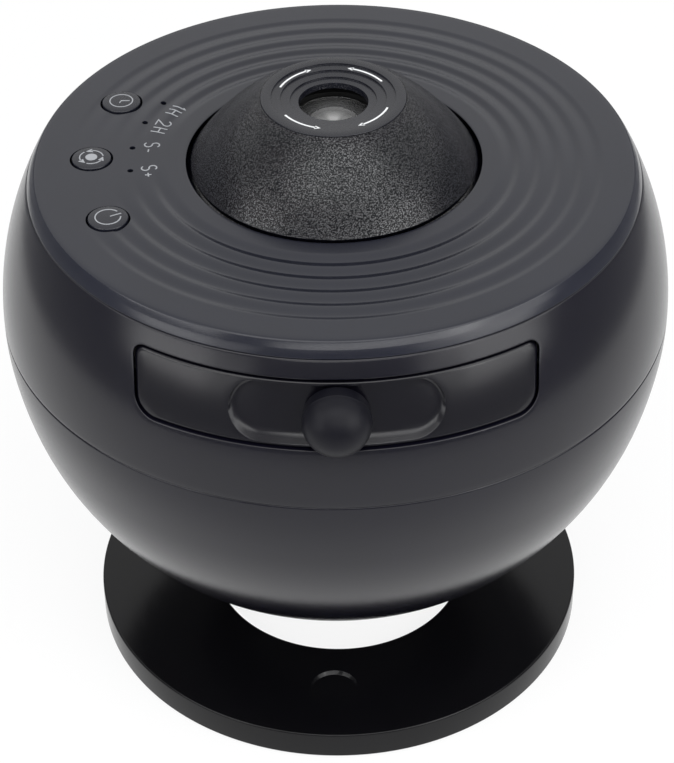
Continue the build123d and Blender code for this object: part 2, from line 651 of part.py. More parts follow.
# ---------------------------------------------------------------- chassis and drawer rails
RAIL_GROOVE_H = (20.6, 23.2)
RAIL_GROOVE_X = 40.8
RAIL_MIDDLE_X = (RAIL_X[0] + RAIL_X[1]) / 2
RAIL_PILOT_DEPTH = 5.0
RAIL_SCREW_LENGTH = 6.0
RAIL_SCREW_AT = [(x, y) for x in (-RAIL_MIDDLE_X, RAIL_MIDDLE_X) for y in (-24.0, 24.0)]
DECK_SCREW_AT = [(x, y) for x in (-RAIL_MIDDLE_X, RAIL_MIDDLE_X) for y in (-38.0, 38.0)]
DECK_MIDDLE_R = 21.0
DECK_ARM = (122.0, 9.0)
DECK_SIZE = (86.0, 92.0)
HOOD_SCREW_AT = [on_circle(19.0, angle) for angle in (30, 150, 270)]
MOTOR_SCREW_AT = [(-14.5, MOTOR_Y), (14.5, MOTOR_Y)]
LIGHT_WAY_R = 12.5
CHASSIS_R = 68.5
CHASSIS_SCREW_LENGTH = 7.5
MOTOR_WINDOW_R = 4.0
WIRE_SLOT = (26.0, 7.0)
WIRE_SLOT_X = 57.0

with BuildPart() as chassis_plate:
    with BuildSketch(level(PLATE_H)):
        Circle(CHASSIS_R)
        Circle(LIGHT_WAY_R, mode=Mode.SUBTRACT)
        with Locations((0, MOTOR_Y)):
            Circle(MOTOR_WINDOW_R, mode=Mode.SUBTRACT)
        with Locations(*BOSS_AT, *RAIL_SCREW_AT):
            Circle(SCREW_CLEAR_R, mode=Mode.SUBTRACT)
        with Locations(*HOOD_SCREW_AT, *MOTOR_SCREW_AT):
            Circle(SCREW_R, mode=Mode.SUBTRACT)
        with Locations((-WIRE_SLOT_X, 0), (WIRE_SLOT_X, 0)):
            SlotOverall(*WIRE_SLOT, rotation=90, mode=Mode.SUBTRACT)
    extrude(amount=PLATE_T)
chassis_plate.part.label = "chassis_plate"
export_step(chassis_plate.part, "parts/chassis_plate.step")

with BuildPart() as chassis_screws:
    add(screw(CHASSIS_SCREW_LENGTH, BOSS_AT, PLATE_H + PLATE_T))
    add(screw(RAIL_SCREW_LENGTH, RAIL_SCREW_AT, PLATE_H, down=False))
chassis_screws.part.label = "chassis_screws"
export_step(chassis_screws.part, "parts/chassis_screws.step")


def drawer_rail(side):
    """Upright side rail with a groove for the drawer's tongue; side is -1 or 1."""
    bottom = PLATE_H + PLATE_T
    inner, outer = RAIL_X
    groove_low, groove_high = RAIL_GROOVE_H
    with BuildPart() as rail:
        with BuildSketch(facing(RAIL_HALF_L)):
            with BuildLine():
                Polyline(
                    (side * inner, bottom),
                    (side * outer, bottom),
                    (side * outer, DECK_H),
                    (side * inner, DECK_H),
                    (side * inner, groove_high),
                    (side * RAIL_GROOVE_X, groove_high),
                    (side * RAIL_GROOVE_X, groove_low),
                    (side * inner, groove_low),
                    close=True,
                )
            make_face()
        extrude(amount=2 * RAIL_HALF_L)
        screws_up = [place for place in RAIL_SCREW_AT if place[0] * side > 0]
        screws_down = [place for place in DECK_SCREW_AT if place[0] * side > 0]
        add(post(SCREW_R, bottom, bottom + RAIL_PILOT_DEPTH, screws_up), mode=Mode.SUBTRACT)
        add(post(SCREW_R, DECK_H - RAIL_PILOT_DEPTH, DECK_H, screws_down), mode=Mode.SUBTRACT)
    return rail


left_rail = drawer_rail(-1)
left_rail.part.label = "left_rail"
export_step(left_rail.part, "parts/left_rail.step")

right_rail = drawer_rail(1)
right_rail.part.label = "right_rail"
export_step(right_rail.part, "parts/right_rail.step")

deck_arm_angle = degrees(atan2(DECK_SCREW_AT[-1][1], DECK_SCREW_AT[-1][0]))

with BuildPart() as optics_deck:
    with BuildSketch(level(DECK_H)):
        Circle(DECK_MIDDLE_R)
        SlotOverall(*DECK_ARM, rotation=deck_arm_angle)
        SlotOverall(*DECK_ARM, rotation=-deck_arm_angle)
        Rectangle(*DECK_SIZE, mode=Mode.INTERSECT)
        Circle(LIGHT_WAY_R, mode=Mode.SUBTRACT)
        with Locations(*DECK_SCREW_AT):
            Circle(SCREW_CLEAR_R, mode=Mode.SUBTRACT)
    extrude(amount=DECK_T)
optics_deck.part.label = "optics_deck"
export_step(optics_deck.part, "parts/optics_deck.step")

with BuildPart() as deck_screws:
    add(screw(RAIL_SCREW_LENGTH, DECK_SCREW_AT, DECK_H + DECK_T))
deck_screws.part.label = "deck_screws"
export_step(deck_screws.part, "parts/deck_screws.step")

# ---------------------------------------------------------------- light engine
HOOD_H = (-2.0, PLATE_H)
HOOD_R = (14.0, 16.5, 22.0)
HOOD_FLANGE_T = 2.0
HOOD_LEDGE_R = 12.6
HOOD_SCREW_LENGTH = 3.6
LENS_SEAT_H = 7.0
CONDENSER_R = 13.8
CONDENSER_EDGE_T = 1.4
CONDENSER_T = 5.6
LED_BOARD_H = (-2.0, -0.4)
LED_BOARD_R = 12.5
LED_SIZE = (5.0, 5.0)
LED_T = 0.8
LED_DOME_R = 2.1
SINK_H = (-14.0, -5.0, -2.0)
HEAT_SINK_R = 17.5
FIN_PITCH = 4.2
FIN_GAP = 2.4
FIN_COUNT = 9

with BuildPart() as light_hood:
    flange_h = HOOD_H[1] - HOOD_FLANGE_T
    add(tube(HOOD_R[1], HOOD_R[0], HOOD_H[0], HOOD_H[1]))
    add(tube(HOOD_R[2], HOOD_R[0], flange_h, HOOD_H[1]))
    add(tube(HOOD_R[1] - PAST, HOOD_LEDGE_R, LENS_SEAT_H - PAST, LENS_SEAT_H))
    add(post(SCREW_CLEAR_R, flange_h - PAST, HOOD_H[1] + PAST, HOOD_SCREW_AT), mode=Mode.SUBTRACT)
light_hood.part.label = "light_hood"
export_step(light_hood.part, "parts/light_hood.step")

with BuildPart() as condenser_lens:
    with BuildSketch(BALL_XZ):
        with BuildLine():
            edge, tip = LENS_SEAT_H + CONDENSER_EDGE_T, LENS_SEAT_H + CONDENSER_T
            Polyline((0, LENS_SEAT_H), (CONDENSER_R, LENS_SEAT_H), (CONDENSER_R, edge))
            ThreePointArc((CONDENSER_R, edge), dome_point(CONDENSER_R, edge, tip), (0, tip))
            Line((0, tip), (0, LENS_SEAT_H))
        make_face()
    revolve(axis=Axis.Z)
condenser_lens.part.label = "condenser_lens"
export_step(condenser_lens.part, "parts/condenser_lens.step")

with BuildPart() as led_board:
    with BuildSketch(level(LED_BOARD_H[0])):
        Circle(LED_BOARD_R)
        with PolarLocations(LED_BOARD_R, 3, 90):
            Circle(SCREW_CLEAR_R, mode=Mode.SUBTRACT)
    extrude(amount=LED_BOARD_H[1] - LED_BOARD_H[0])
led_board.part.label = "led_board"
export_step(led_board.part, "parts/led_board.step")

with BuildPart() as led_emitter:
    with BuildSketch(level(LED_BOARD_H[1])):
        Rectangle(*LED_SIZE)
    extrude(amount=LED_T)
    with Locations((0, 0, BALL_Z + LED_BOARD_H[1] + LED_T - 2 * FIT)):
        Sphere(LED_DOME_R, arc_size1=0, align=UPWARD)
led_emitter.part.label = "led_emitter"
export_step(led_emitter.part, "parts/led_emitter.step")

with BuildPart() as heat_sink:
    with BuildSketch(level(SINK_H[0])):
        Circle(HEAT_SINK_R)
    extrude(amount=SINK_H[2] - SINK_H[0])
    with BuildSketch(level(SINK_H[0])):
        with GridLocations(FIN_PITCH, 0, FIN_COUNT - 1, 1):
            Rectangle(FIN_GAP, 2 * HEAT_SINK_R)
        with GridLocations(0, 3 * FIN_PITCH, 1, 2):
            Rectangle(2 * HEAT_SINK_R, FIN_GAP)
    extrude(amount=SINK_H[1] - SINK_H[0], mode=Mode.SUBTRACT)
heat_sink.part.label = "heat_sink"
export_step(heat_sink.part, "parts/heat_sink.step")

# ---------------------------------------------------------------- disc drive
MOTOR_H = (-4.0, 11.8)
MOTOR_R = 10.5
MOTOR_EDGE_R = 0.8
MOTOR_EARS = (37.0, 7.0)
MOTOR_FACE_R = 11.5
MOTOR_FACE_T = PLATE_H - MOTOR_H[1]
MOTOR_BORE_H = 11.0
MOTOR_SCREW_LENGTH = 3.0
SHAFT_R = 1.5
SHAFT_TOP = 0.8

with BuildPart() as drive_motor:
    with BuildSketch(level(MOTOR_H[0])):
        with Locations((0, MOTOR_Y)):
            Circle(MOTOR_R)
    extrude(amount=MOTOR_H[1] - MOTOR_H[0])
    fillet(drive_motor.faces().sort_by(Axis.Z)[0].edges(), MOTOR_EDGE_R)
    with BuildSketch(level(MOTOR_H[1])):
        with Locations((0, MOTOR_Y)):
            SlotOverall(*MOTOR_EARS)
            Circle(MOTOR_FACE_R)
        with Locations(*MOTOR_SCREW_AT):
            Circle(SCREW_CLEAR_R, mode=Mode.SUBTRACT)
    extrude(amount=MOTOR_FACE_T)
    with BuildSketch(level(MOTOR_BORE_H)):
        with Locations((0, MOTOR_Y)):
            Circle(SHAFT_R + THREAD_GAP)
    extrude(amount=PLATE_H - MOTOR_BORE_H, mode=Mode.SUBTRACT)
drive_motor.part.label = "drive_motor"
export_step(drive_motor.part, "parts/drive_motor.step")

with BuildPart() as motor_screws:
    add(screw(MOTOR_SCREW_LENGTH, MOTOR_SCREW_AT, MOTOR_H[1], down=False))
    add(screw(HOOD_SCREW_LENGTH, HOOD_SCREW_AT, HOOD_H[1] - HOOD_FLANGE_T, down=False))
motor_screws.part.label = "motor_screws"
export_step(motor_screws.part, "parts/motor_screws.step")

with BuildPart() as motor_shaft:
    add(post(SHAFT_R, MOTOR_BORE_H + FIT, GEAR_H[1] + SHAFT_TOP, [(0, MOTOR_Y)]))
motor_shaft.part.label = "motor_shaft"
export_step(motor_shaft.part, "parts/motor_shaft.step")

PINION_PLANE = Plane(origin=(0, MOTOR_Y, BALL_Z + GEAR_H[0]), x_dir=(0, -1, 0), z_dir=(0, 0, 1))
DISC_PLANE = Plane(
    origin=(0, 0, BALL_Z + GEAR_H[0]),
    x_dir=(*on_circle(1, 90 + 180 / DISC_TEETH), 0),
    z_dir=(0, 0, 1),
)

with BuildPart() as drive_pinion:
    with BuildSketch(PINION_PLANE):
        add(gear_teeth(PINION_TEETH, SHAFT_R))
    extrude(amount=GEAR_H[1] - GEAR_H[0])
drive_pinion.part.label = "drive_pinion"
export_step(drive_pinion.part, "parts/drive_pinion.step")

FILM_H = (20.4, 21.8)
FILM_R = 25.7
FILM_NOTCH_R = 1.4
CARRIER_BORE_R = 24.0

with BuildPart() as disc_gear:
    with BuildSketch(DISC_PLANE):
        add(gear_teeth(DISC_TEETH, CARRIER_BORE_R))
    extrude(amount=GEAR_H[1] - GEAR_H[0])
    add(post(FILM_R + FIT, FILM_H[0], GEAR_H[1] + PAST, [(0, 0)]), mode=Mode.SUBTRACT)
disc_gear.part.label = "disc_gear"
export_step(disc_gear.part, "parts/disc_gear.step")

with BuildPart() as film_disc:
    add(post(FILM_R, FILM_H[0], FILM_H[1], [(0, 0)]))
    add(post(FILM_NOTCH_R, FILM_H[0], FILM_H[1], [(0, -FILM_R)]), mode=Mode.SUBTRACT)
film_disc.part.label = "film_disc"
export_step(film_disc.part, "parts/film_disc.step")

# ---------------------------------------------------------------- film drawer
TRAY_H = (16.0, 18.2)
TRAY_TOP_H = 27.4
TRAY_HALF_W = 38.6
TRAY_Y = (-52.0, 50.0)
TONGUE_X = 40.5
TONGUE_H = (20.9, 22.9)
TRAY_WALL = 2.0
TRAY_SCREW_AT = [(-28.0, KNOB_H), (28.0, KNOB_H)]
TRAY_SCREW_LENGTH = 6.4
WELL_RIM_R = (31.5, 33.6)
WELL_RIM_TOP_H = 22.6
WELL_SEAT_R = (27.0, 31.6)
WELL_SEAT_GAP = 0.2
WELL_HOLE_R = 23.0
PINION_WAY = (17.0, 56.0)
PINION_WAY_Y = 55.0
KNOB_SCREW_WAY_R = 4.0
tray_length = TRAY_Y[1] - TRAY_Y[0]
tray_middle_y = (TRAY_Y[0] + TRAY_Y[1]) / 2

with BuildPart() as drawer_tray:
    with BuildSketch(level(TRAY_H[0])):
        with Locations((0, tray_middle_y)):
            Rectangle(2 * TRAY_HALF_W, tray_length)
    extrude(amount=TRAY_TOP_H - TRAY_H[0])
    with BuildSketch(level(TRAY_H[1])):
        with Locations((0, tray_middle_y)):
            Rectangle(2 * (TRAY_HALF_W - TRAY_WALL), tray_length - 2 * TRAY_WALL)
    extrude(amount=TRAY_TOP_H - TRAY_H[1] + PAST, mode=Mode.SUBTRACT)
    with BuildSketch(level(TONGUE_H[0])):
        with Locations((0, tray_middle_y)):
            Rectangle(2 * TONGUE_X, tray_length - TRAY_WALL)
            Rectangle(2 * TRAY_HALF_W - TRAY_WALL, tray_length, mode=Mode.SUBTRACT)
    extrude(amount=TONGUE_H[1] - TONGUE_H[0])
    add(tube(WELL_RIM_R[1], WELL_RIM_R[0], TRAY_H[0], WELL_RIM_TOP_H))
    add(tube(WELL_SEAT_R[1], WELL_SEAT_R[0], TRAY_H[0], GEAR_H[0] - WELL_SEAT_GAP))
    add(post(WELL_HOLE_R, TRAY_H[0] - PAST, TRAY_H[1] + PAST, [(0, 0)]), mode=Mode.SUBTRACT)
    with BuildSketch(level(TRAY_H[0] - PAST)):
        with Locations((0, PINION_WAY_Y)):
            Rectangle(*PINION_WAY)
    extrude(amount=TRAY_TOP_H - TRAY_H[0] + 2 * PAST, mode=Mode.SUBTRACT)
    with BuildSketch(facing(TRAY_Y[0] + TRAY_WALL + PAST)):
        with Locations(*TRAY_SCREW_AT):
            Circle(SCREW_CLEAR_R)
        with Locations((0, KNOB_H)):
            Circle(KNOB_SCREW_WAY_R)
    extrude(amount=TRAY_WALL + 2 * PAST, mode=Mode.SUBTRACT)
drawer_tray.part.label = "drawer_tray"
export_step(drawer_tray.part, "parts/drawer_tray.step")

KNOB_SEAT_Y = -68.4
KNOB_EDGE = 0.25
KNOB_HUB_R = 4.5
KNOB_HUB_Y = -69.6
KNOB_SOCKET_R = 1.6
KNOB_SOCKET_DEPTH = 0.8
KNOB_PILOT_DEPTH = 6.0
KNOB_SCREW_LENGTH = 7.0
KNOB_HEAD_WAY_R = 3.4
FRONT_BOSS_R = 3.6
FRONT_PILOT_DEPTH = 7.0
INSIDE_Y = -50.0
front_middle_h = (FRONT_LOW_H + FRONT_HIGH_H) / 2

with BuildPart() as front_blank:
    with BuildSketch(facing(INSIDE_Y)):
        with Locations((0, front_middle_h)):
            Rectangle(2 * FRONT_HALF_W, FRONT_HIGH_H - FRONT_LOW_H)
    extrude(amount=BALL_R)
    fillet(front_blank.edges().filter_by(Axis.Y).group_by(Axis.Z)[0], FRONT_CORNER_R[0])
    fillet(front_blank.edges().filter_by(Axis.Y).group_by(Axis.Z)[-1], FRONT_CORNER_R[1])

with BuildPart() as front_panel:
    add(spherical_band(FRONT_R, FRONT_R - FRONT_T, OPENING_LOW_H - PAST, OPENING_HIGH_H + PAST))
    add(front_blank.part, mode=Mode.INTERSECT)
    outer_face = front_panel.faces().sort_by(SortBy.AREA)[-1]
    fillet(outer_face.edges(), FRONT_EDGE_R)

with BuildPart() as scoop_cutter:
    with BuildSketch(facing(INSIDE_Y)):
        with Locations((0, SCOOP_H)):
            SlotOverall(SCOOP_LENGTH, SCOOP_HEIGHT)
    extrude(amount=BALL_R)
    with Locations(TO_BALL):
        Sphere(FRONT_R - SCOOP_DEPTH, mode=Mode.SUBTRACT)
    floor_face = scoop_cutter.faces().sort_by(Axis.Y)[-1]
    fillet(floor_face.edges(), SCOOP_EDGE_R)

with BuildPart() as front_bosses:
    with BuildSketch(facing(TRAY_Y[0])):
        with Locations(*TRAY_SCREW_AT):
            Circle(FRONT_BOSS_R)
    extrude(amount=BALL_R)
    with Locations(TO_BALL):
        Sphere(FRONT_R - FRONT_T + SHELL_BITE, mode=Mode.INTERSECT)

with BuildPart() as drawer_front:
    add(front_panel.part)
    add(scoop_cutter.part, mode=Mode.SUBTRACT)
    add(front_bosses.part)
    with BuildSketch(facing(TRAY_Y[0])):
        with Locations(*TRAY_SCREW_AT):
            Circle(SCREW_R)
    extrude(amount=FRONT_PILOT_DEPTH, mode=Mode.SUBTRACT)
    with BuildSketch(facing(INSIDE_Y)):
        with Locations((0, KNOB_H)):
            Circle(SCREW_CLEAR_R)
    extrude(amount=BALL_R, mode=Mode.SUBTRACT)
    with BuildSketch(facing(KNOB_SEAT_Y)):
        with Locations((0, KNOB_H)):
            Circle(KNOB_HEAD_WAY_R)
    extrude(amount=KNOB_SEAT_Y - INSIDE_Y, mode=Mode.SUBTRACT)
drawer_front.part.label = "drawer_front"
export_step(drawer_front.part, "parts/drawer_front.step")

knob_edge_r = KNOB_R - KNOB_EDGE
bulge_r, bulge_y = dome_point(knob_edge_r, KNOB_RIM_Y, KNOB_TIP_Y)

with BuildPart() as pull_knob:
    with BuildSketch(BALL_YZ):
        with BuildLine():
            Polyline(
                (KNOB_TIP_Y, KNOB_H),
                (KNOB_HUB_Y, KNOB_H),
                (KNOB_HUB_Y, KNOB_H + KNOB_HUB_R),
                (KNOB_BACK_Y, KNOB_H + KNOB_HUB_R),
                (KNOB_BACK_Y, KNOB_H + knob_edge_r),
                (KNOB_BACK_Y - KNOB_EDGE, KNOB_H + KNOB_R),
                (KNOB_RIM_Y + KNOB_EDGE, KNOB_H + KNOB_R),
                (KNOB_RIM_Y, KNOB_H + knob_edge_r),
            )
            ThreePointArc(
                (KNOB_RIM_Y, KNOB_H + knob_edge_r),
                (bulge_y, KNOB_H + bulge_r),
                (KNOB_TIP_Y, KNOB_H),
            )
        make_face()
    revolve(axis=Axis((0, 0, BALL_Z + KNOB_H), (0, 1, 0)))
    add(drawer_front.part, mode=Mode.SUBTRACT)
    with BuildSketch(facing(KNOB_BACK_Y + PAST)):
        with Locations((0, KNOB_H)):
            Circle(KNOB_SOCKET_R)
    extrude(amount=KNOB_SOCKET_DEPTH + PAST, mode=Mode.SUBTRACT)
    with BuildSketch(facing(KNOB_BACK_Y)):
        with Locations((0, KNOB_H)):
            Circle(SCREW_R)
    extrude(amount=KNOB_PILOT_DEPTH, mode=Mode.SUBTRACT)
pull_knob.part.label = "pull_knob"
export_step(pull_knob.part, "parts/pull_knob.step")

with BuildPart() as knob_screw:
    with BuildSketch(facing(KNOB_SEAT_Y)):
        with Locations((0, KNOB_H)):
            Circle(SCREW_HEAD_R)
    extrude(amount=-SCREW_HEAD_T)
    with BuildSketch(facing(KNOB_SEAT_Y)):
        with Locations((0, KNOB_H)):
            Circle(SCREW_R - THREAD_GAP)
    extrude(amount=KNOB_SCREW_LENGTH)
knob_screw.part.label = "knob_screw"
export_step(knob_screw.part, "parts/knob_screw.step")

with BuildPart() as tray_screws:
    with BuildSketch(facing(TRAY_Y[0] + TRAY_WALL + SCREW_HEAD_T)):
        with Locations(*TRAY_SCREW_AT):
            Circle(SCREW_HEAD_R)
    extrude(amount=SCREW_HEAD_T)
    with BuildSketch(facing(TRAY_Y[0] + TRAY_WALL)):
        with Locations(*TRAY_SCREW_AT):
            Circle(SCREW_R - THREAD_GAP)
    extrude(amount=TRAY_SCREW_LENGTH)
tray_screws.part.label = "tray_screws"
export_step(tray_screws.part, "parts/tray_screws.step")

# ---------------------------------------------------------------- focus turret and lens
LUG_ANGLES = (90, 210, 330)
LUG_H = (34.4, 36.4)
LUG_R = 15.5
LUG_W = 3.0
LENS_R = 9.9
FRONT_LENS_H = (41.4, 43.6, 46.6)
REAR_LENS_H = (36.0, 34.4, 32.6)
BARREL_R = (10.0, 11.6)
BARREL_H = (31.0, 46.9)
LENS_SEAT_R = 8.8
RING_R = (8.9, 9.95)
FRONT_RING_H = (44.3, 45.8)
REAR_RING_H = (31.6, 33.1)
GUIDE_R = (12.0, 13.5, 19.5)
GUIDE_H = (DECK_H + DECK_T, 40.0)
GUIDE_FLANGE_T = 1.3
GUIDE_SLOT_LIFT = 0.4
SLEEVE_R = (13.9, 17.2)
SLEEVE_H = (33.2, 47.2)
SLEEVE_WALL_R = 14.3
FLANGE_R = (29.0, 31.2, 33.5)
FLANGE_H = (32.4, 33.8)
CONE_INSIDE = ((28.6, 36.1), (22.2, 43.8), (17.3, 47.2))
CAP_PLUG_R = 14.2
CAP_UNDER_H = 49.4
CAP_EDGE = 0.3
GROOVE_R = 14.8
GROOVE_W = 2.4
GROOVE_SPARE_DEG = 8.5
lead = 360 * FOCUS_TRAVEL / FOCUS_TURN_DEG

with BuildPart() as guide_tube:
    add(tube(GUIDE_R[1], GUIDE_R[0], GUIDE_H[0], GUIDE_H[1]))
    add(tube(GUIDE_R[2], GUIDE_R[0], GUIDE_H[0], GUIDE_H[0] + GUIDE_FLANGE_T))
    slot_h = GUIDE_H[0] + GUIDE_SLOT_LIFT
    for angle in LUG_ANGLES:
        with BuildSketch(Plane(origin=(0, 0, BALL_Z + slot_h), x_dir=(*on_circle(1, angle), 0))):
            with Locations(((GUIDE_R[0] + LUG_R) / 2, 0)):
                Rectangle(LUG_R - GUIDE_R[0] + 2 * PAST, LUG_W + 6 * FIT)
        extrude(amount=GUIDE_H[1], mode=Mode.SUBTRACT)
guide_tube.part.label = "guide_tube"
export_step(guide_tube.part, "parts/guide_tube.step")

with BuildPart() as lens_barrel:
    add(tube(BARREL_R[1], BARREL_R[0], BARREL_H[0], BARREL_H[1]))
    add(tube(BARREL_R[0] + PAST, LENS_SEAT_R, REAR_LENS_H[0], FRONT_LENS_H[0]))
    for angle in LUG_ANGLES:
        with BuildSketch(Plane(origin=(0, 0, BALL_Z + LUG_H[0]), x_dir=(*on_circle(1, angle), 0))):
            with Locations(((BARREL_R[0] + PAST + LUG_R) / 2, 0)):
                Rectangle(LUG_R - BARREL_R[0] - PAST, LUG_W)
        extrude(amount=LUG_H[1] - LUG_H[0])
lens_barrel.part.label = "lens_barrel"
export_step(lens_barrel.part, "parts/lens_barrel.step")

with BuildPart() as front_lens:
    with BuildSketch(BALL_XZ):
        with BuildLine():
            seat, edge, tip = FRONT_LENS_H
            Polyline((0, seat), (LENS_R, seat), (LENS_R, edge))
            ThreePointArc((LENS_R, edge), dome_point(LENS_R, edge, tip), (0, tip))
            Line((0, tip), (0, seat))
        make_face()
    revolve(axis=Axis.Z)
front_lens.part.label = "front_lens"
export_step(front_lens.part, "parts/front_lens.step")

with BuildPart() as rear_lens:
    with BuildSketch(BALL_XZ):
        with BuildLine():
            seat, edge, tip = REAR_LENS_H
            Polyline((0, seat), (LENS_R, seat), (LENS_R, edge))
            ThreePointArc((LENS_R, edge), dome_point(LENS_R, edge, tip), (0, tip))
            Line((0, tip), (0, seat))
        make_face()
    revolve(axis=Axis.Z)
rear_lens.part.label = "rear_lens"
export_step(rear_lens.part, "parts/rear_lens.step")

with BuildPart() as retaining_rings:
    add(tube(RING_R[1], RING_R[0], *FRONT_RING_H))
    add(tube(RING_R[1], RING_R[0], *REAR_RING_H))
retaining_rings.part.label = "retaining_rings"
export_step(retaining_rings.part, "parts/retaining_rings.step")

groove_half_turn = FOCUS_TURN_DEG + GROOVE_SPARE_DEG
groove_rise = 2 * groove_half_turn * lead / 360
groove_low_h = (LUG_H[0] + LUG_H[1]) / 2 - groove_rise / 2

with BuildPart() as lug_groove:
    with BuildLine() as groove_path:
        Helix(pitch=lead, height=groove_rise, radius=GROOVE_R, lefthand=True)
    with BuildSketch(Plane(origin=groove_path.line @ 0, x_dir=(1, 0, 0), z_dir=groove_path.line % 0)):
        Rectangle(GROOVE_W, LUG_H[1] - LUG_H[0] + PAST)
    sweep(path=groove_path.line, is_frenet=True)

with BuildPart() as focus_sleeve:
    add(tube(SLEEVE_R[1], SLEEVE_R[0], SLEEVE_H[0], SLEEVE_H[1]))
    for angle in LUG_ANGLES:
        lowest_end = Location((0, 0, BALL_Z + groove_low_h), (0, 0, angle + groove_half_turn))
        add(lug_groove.part.moved(lowest_end), mode=Mode.SUBTRACT)
focus_sleeve.part.label = "focus_sleeve"
export_step(focus_sleeve.part, "parts/focus_sleeve.step")

with BuildPart() as focus_cap:
    with BuildSketch(BALL_XZ):
        with BuildLine():
            stairs = [(CAP_R, CAP_SEAT_H), (CAP_R, CAP_TOP_H - CAP_EDGE), (CAP_R - CAP_EDGE, CAP_TOP_H)]
            for step, radius in enumerate(CAP_STEPS_R):
                stairs.append((radius, CAP_TOP_H - step * CAP_STEP))
                stairs.append((radius, CAP_TOP_H - (step + 1) * CAP_STEP))
            stairs[-1] = (CAP_STEPS_R[-1], CAP_UNDER_H)
            stairs.append((CAP_PLUG_R, CAP_UNDER_H))
            stairs.append((CAP_PLUG_R, CAP_SEAT_H))
            Polyline(*stairs, close=True)
        make_face()
    revolve(axis=Axis.Z)
focus_cap.part.label = "focus_cap"
export_step(focus_cap.part, "parts/focus_cap.step")

with BuildPart() as focus_cone:
    with BuildSketch(BALL_XZ):
        with BuildLine():
            ThreePointArc(CONE_RIM, CONE_BULGE, (CONE_BASE_R, COVER_TOP_H))
            Polyline(
                (CONE_BASE_R, COVER_TOP_H),
                (FLANGE_R[1], FLANGE_H[1]),
                (FLANGE_R[2], FLANGE_H[1]),
                (FLANGE_R[2], FLANGE_H[0]),
                (FLANGE_R[0], FLANGE_H[0]),
                CONE_INSIDE[0],
            )
            ThreePointArc(*CONE_INSIDE)
            Polyline(
                CONE_INSIDE[2],
                (SLEEVE_WALL_R, SLEEVE_H[1]),
                (SLEEVE_WALL_R, CAP_SEAT_H - THREAD_GAP),
                (CAP_R + THREAD_GAP, CAP_SEAT_H - THREAD_GAP),
                (CAP_R + THREAD_GAP, CONE_RIM[1]),
                CONE_RIM,
            )
        make_face()
    revolve(axis=Axis.Z)
focus_cone.part.label = "focus_cone"
export_step(focus_cone.part, "parts/focus_cone.step")

# ---------------------------------------------------------------- controls
BUTTON_TRAVEL = 0.5
BUTTON_H = (33.4, 34.0)
BUTTON_FLANGE = 0.9
BUTTON_EDGE_R = 0.25
SWITCH_SIZE = (6.0, 6.0)
SWITCH_TOP_H = 32.5
SWITCH_STEM_R = 1.7
CONTROL_BOARD_R = (36.8, 62.0)
CONTROL_BOARD_CUT = (28.0, 52.4)
CONTROL_BOARD_X = -50.0
LED_CHIP = (1.6, 0.8)
LED_CHIP_T = 0.6
GUIDE_PIPE_H = (31.8, 35.8)
GUIDE_COLLAR_R = 1.3
GUIDE_COLLAR_H = 33.2


def push_button(place):
    """Round button cap with a retaining flange under the cover."""
    with BuildPart() as button:
        add(post(BUTTON_R, BUTTON_H[0], COVER_TOP_H + BUTTON_PROUD, [place]))
        fillet(button.faces().sort_by(Axis.Z)[-1].edges(), BUTTON_EDGE_R)
        add(post(BUTTON_R + BUTTON_FLANGE, BUTTON_H[0], BUTTON_H[1], [place]))
    return button


timer_button = push_button(BUTTON_AT["timer"])
timer_button.part.label = "timer_button"
export_step(timer_button.part, "parts/timer_button.step")

rotate_button = push_button(BUTTON_AT["rotate"])
rotate_button.part.label = "rotate_button"
export_step(rotate_button.part, "parts/rotate_button.step")

power_button = push_button(BUTTON_AT["power"])
power_button.part.label = "power_button"
export_step(power_button.part, "parts/power_button.step")

with BuildPart() as control_board:
    with BuildSketch(level(CONTROL_BOARD_H[0])):
        Circle(CONTROL_BOARD_R[1])
        Circle(CONTROL_BOARD_R[0], mode=Mode.SUBTRACT)
        with Locations((CONTROL_BOARD_X, 0)):
            Rectangle(*CONTROL_BOARD_CUT, mode=Mode.INTERSECT)
        with Locations(*STAKE_AT):
            Circle(STAKE_R[0] + FIT, mode=Mode.SUBTRACT)
    extrude(amount=CONTROL_BOARD_H[1] - CONTROL_BOARD_H[0])
control_board.part.label = "control_board"
export_step(control_board.part, "parts/control_board.step")

with BuildPart() as push_switches:
    with BuildSketch(level(CONTROL_BOARD_H[1])):
        with Locations(*BUTTON_AT.values()):
            Rectangle(*SWITCH_SIZE)
    extrude(amount=SWITCH_TOP_H - CONTROL_BOARD_H[1])
    add(post(SWITCH_STEM_R, SWITCH_TOP_H, BUTTON_H[0] - BUTTON_TRAVEL, BUTTON_AT.values()))
push_switches.part.label = "push_switches"
export_step(push_switches.part, "parts/push_switches.step")

with BuildPart() as indicator_leds:
    with BuildSketch(level(CONTROL_BOARD_H[1])):
        with Locations(*LIGHT_AT):
            Rectangle(*LED_CHIP)
    extrude(amount=LED_CHIP_T)
indicator_leds.part.label = "indicator_leds"
export_step(indicator_leds.part, "parts/indicator_leds.step")

with BuildPart() as light_guides:
    add(post(LIGHT_R, *GUIDE_PIPE_H, LIGHT_AT))
    add(post(GUIDE_COLLAR_R, GUIDE_COLLAR_H, COVER_UNDER_H, LIGHT_AT))
light_guides.part.label = "light_guides"
export_step(light_guides.part, "parts/light_guides.step")

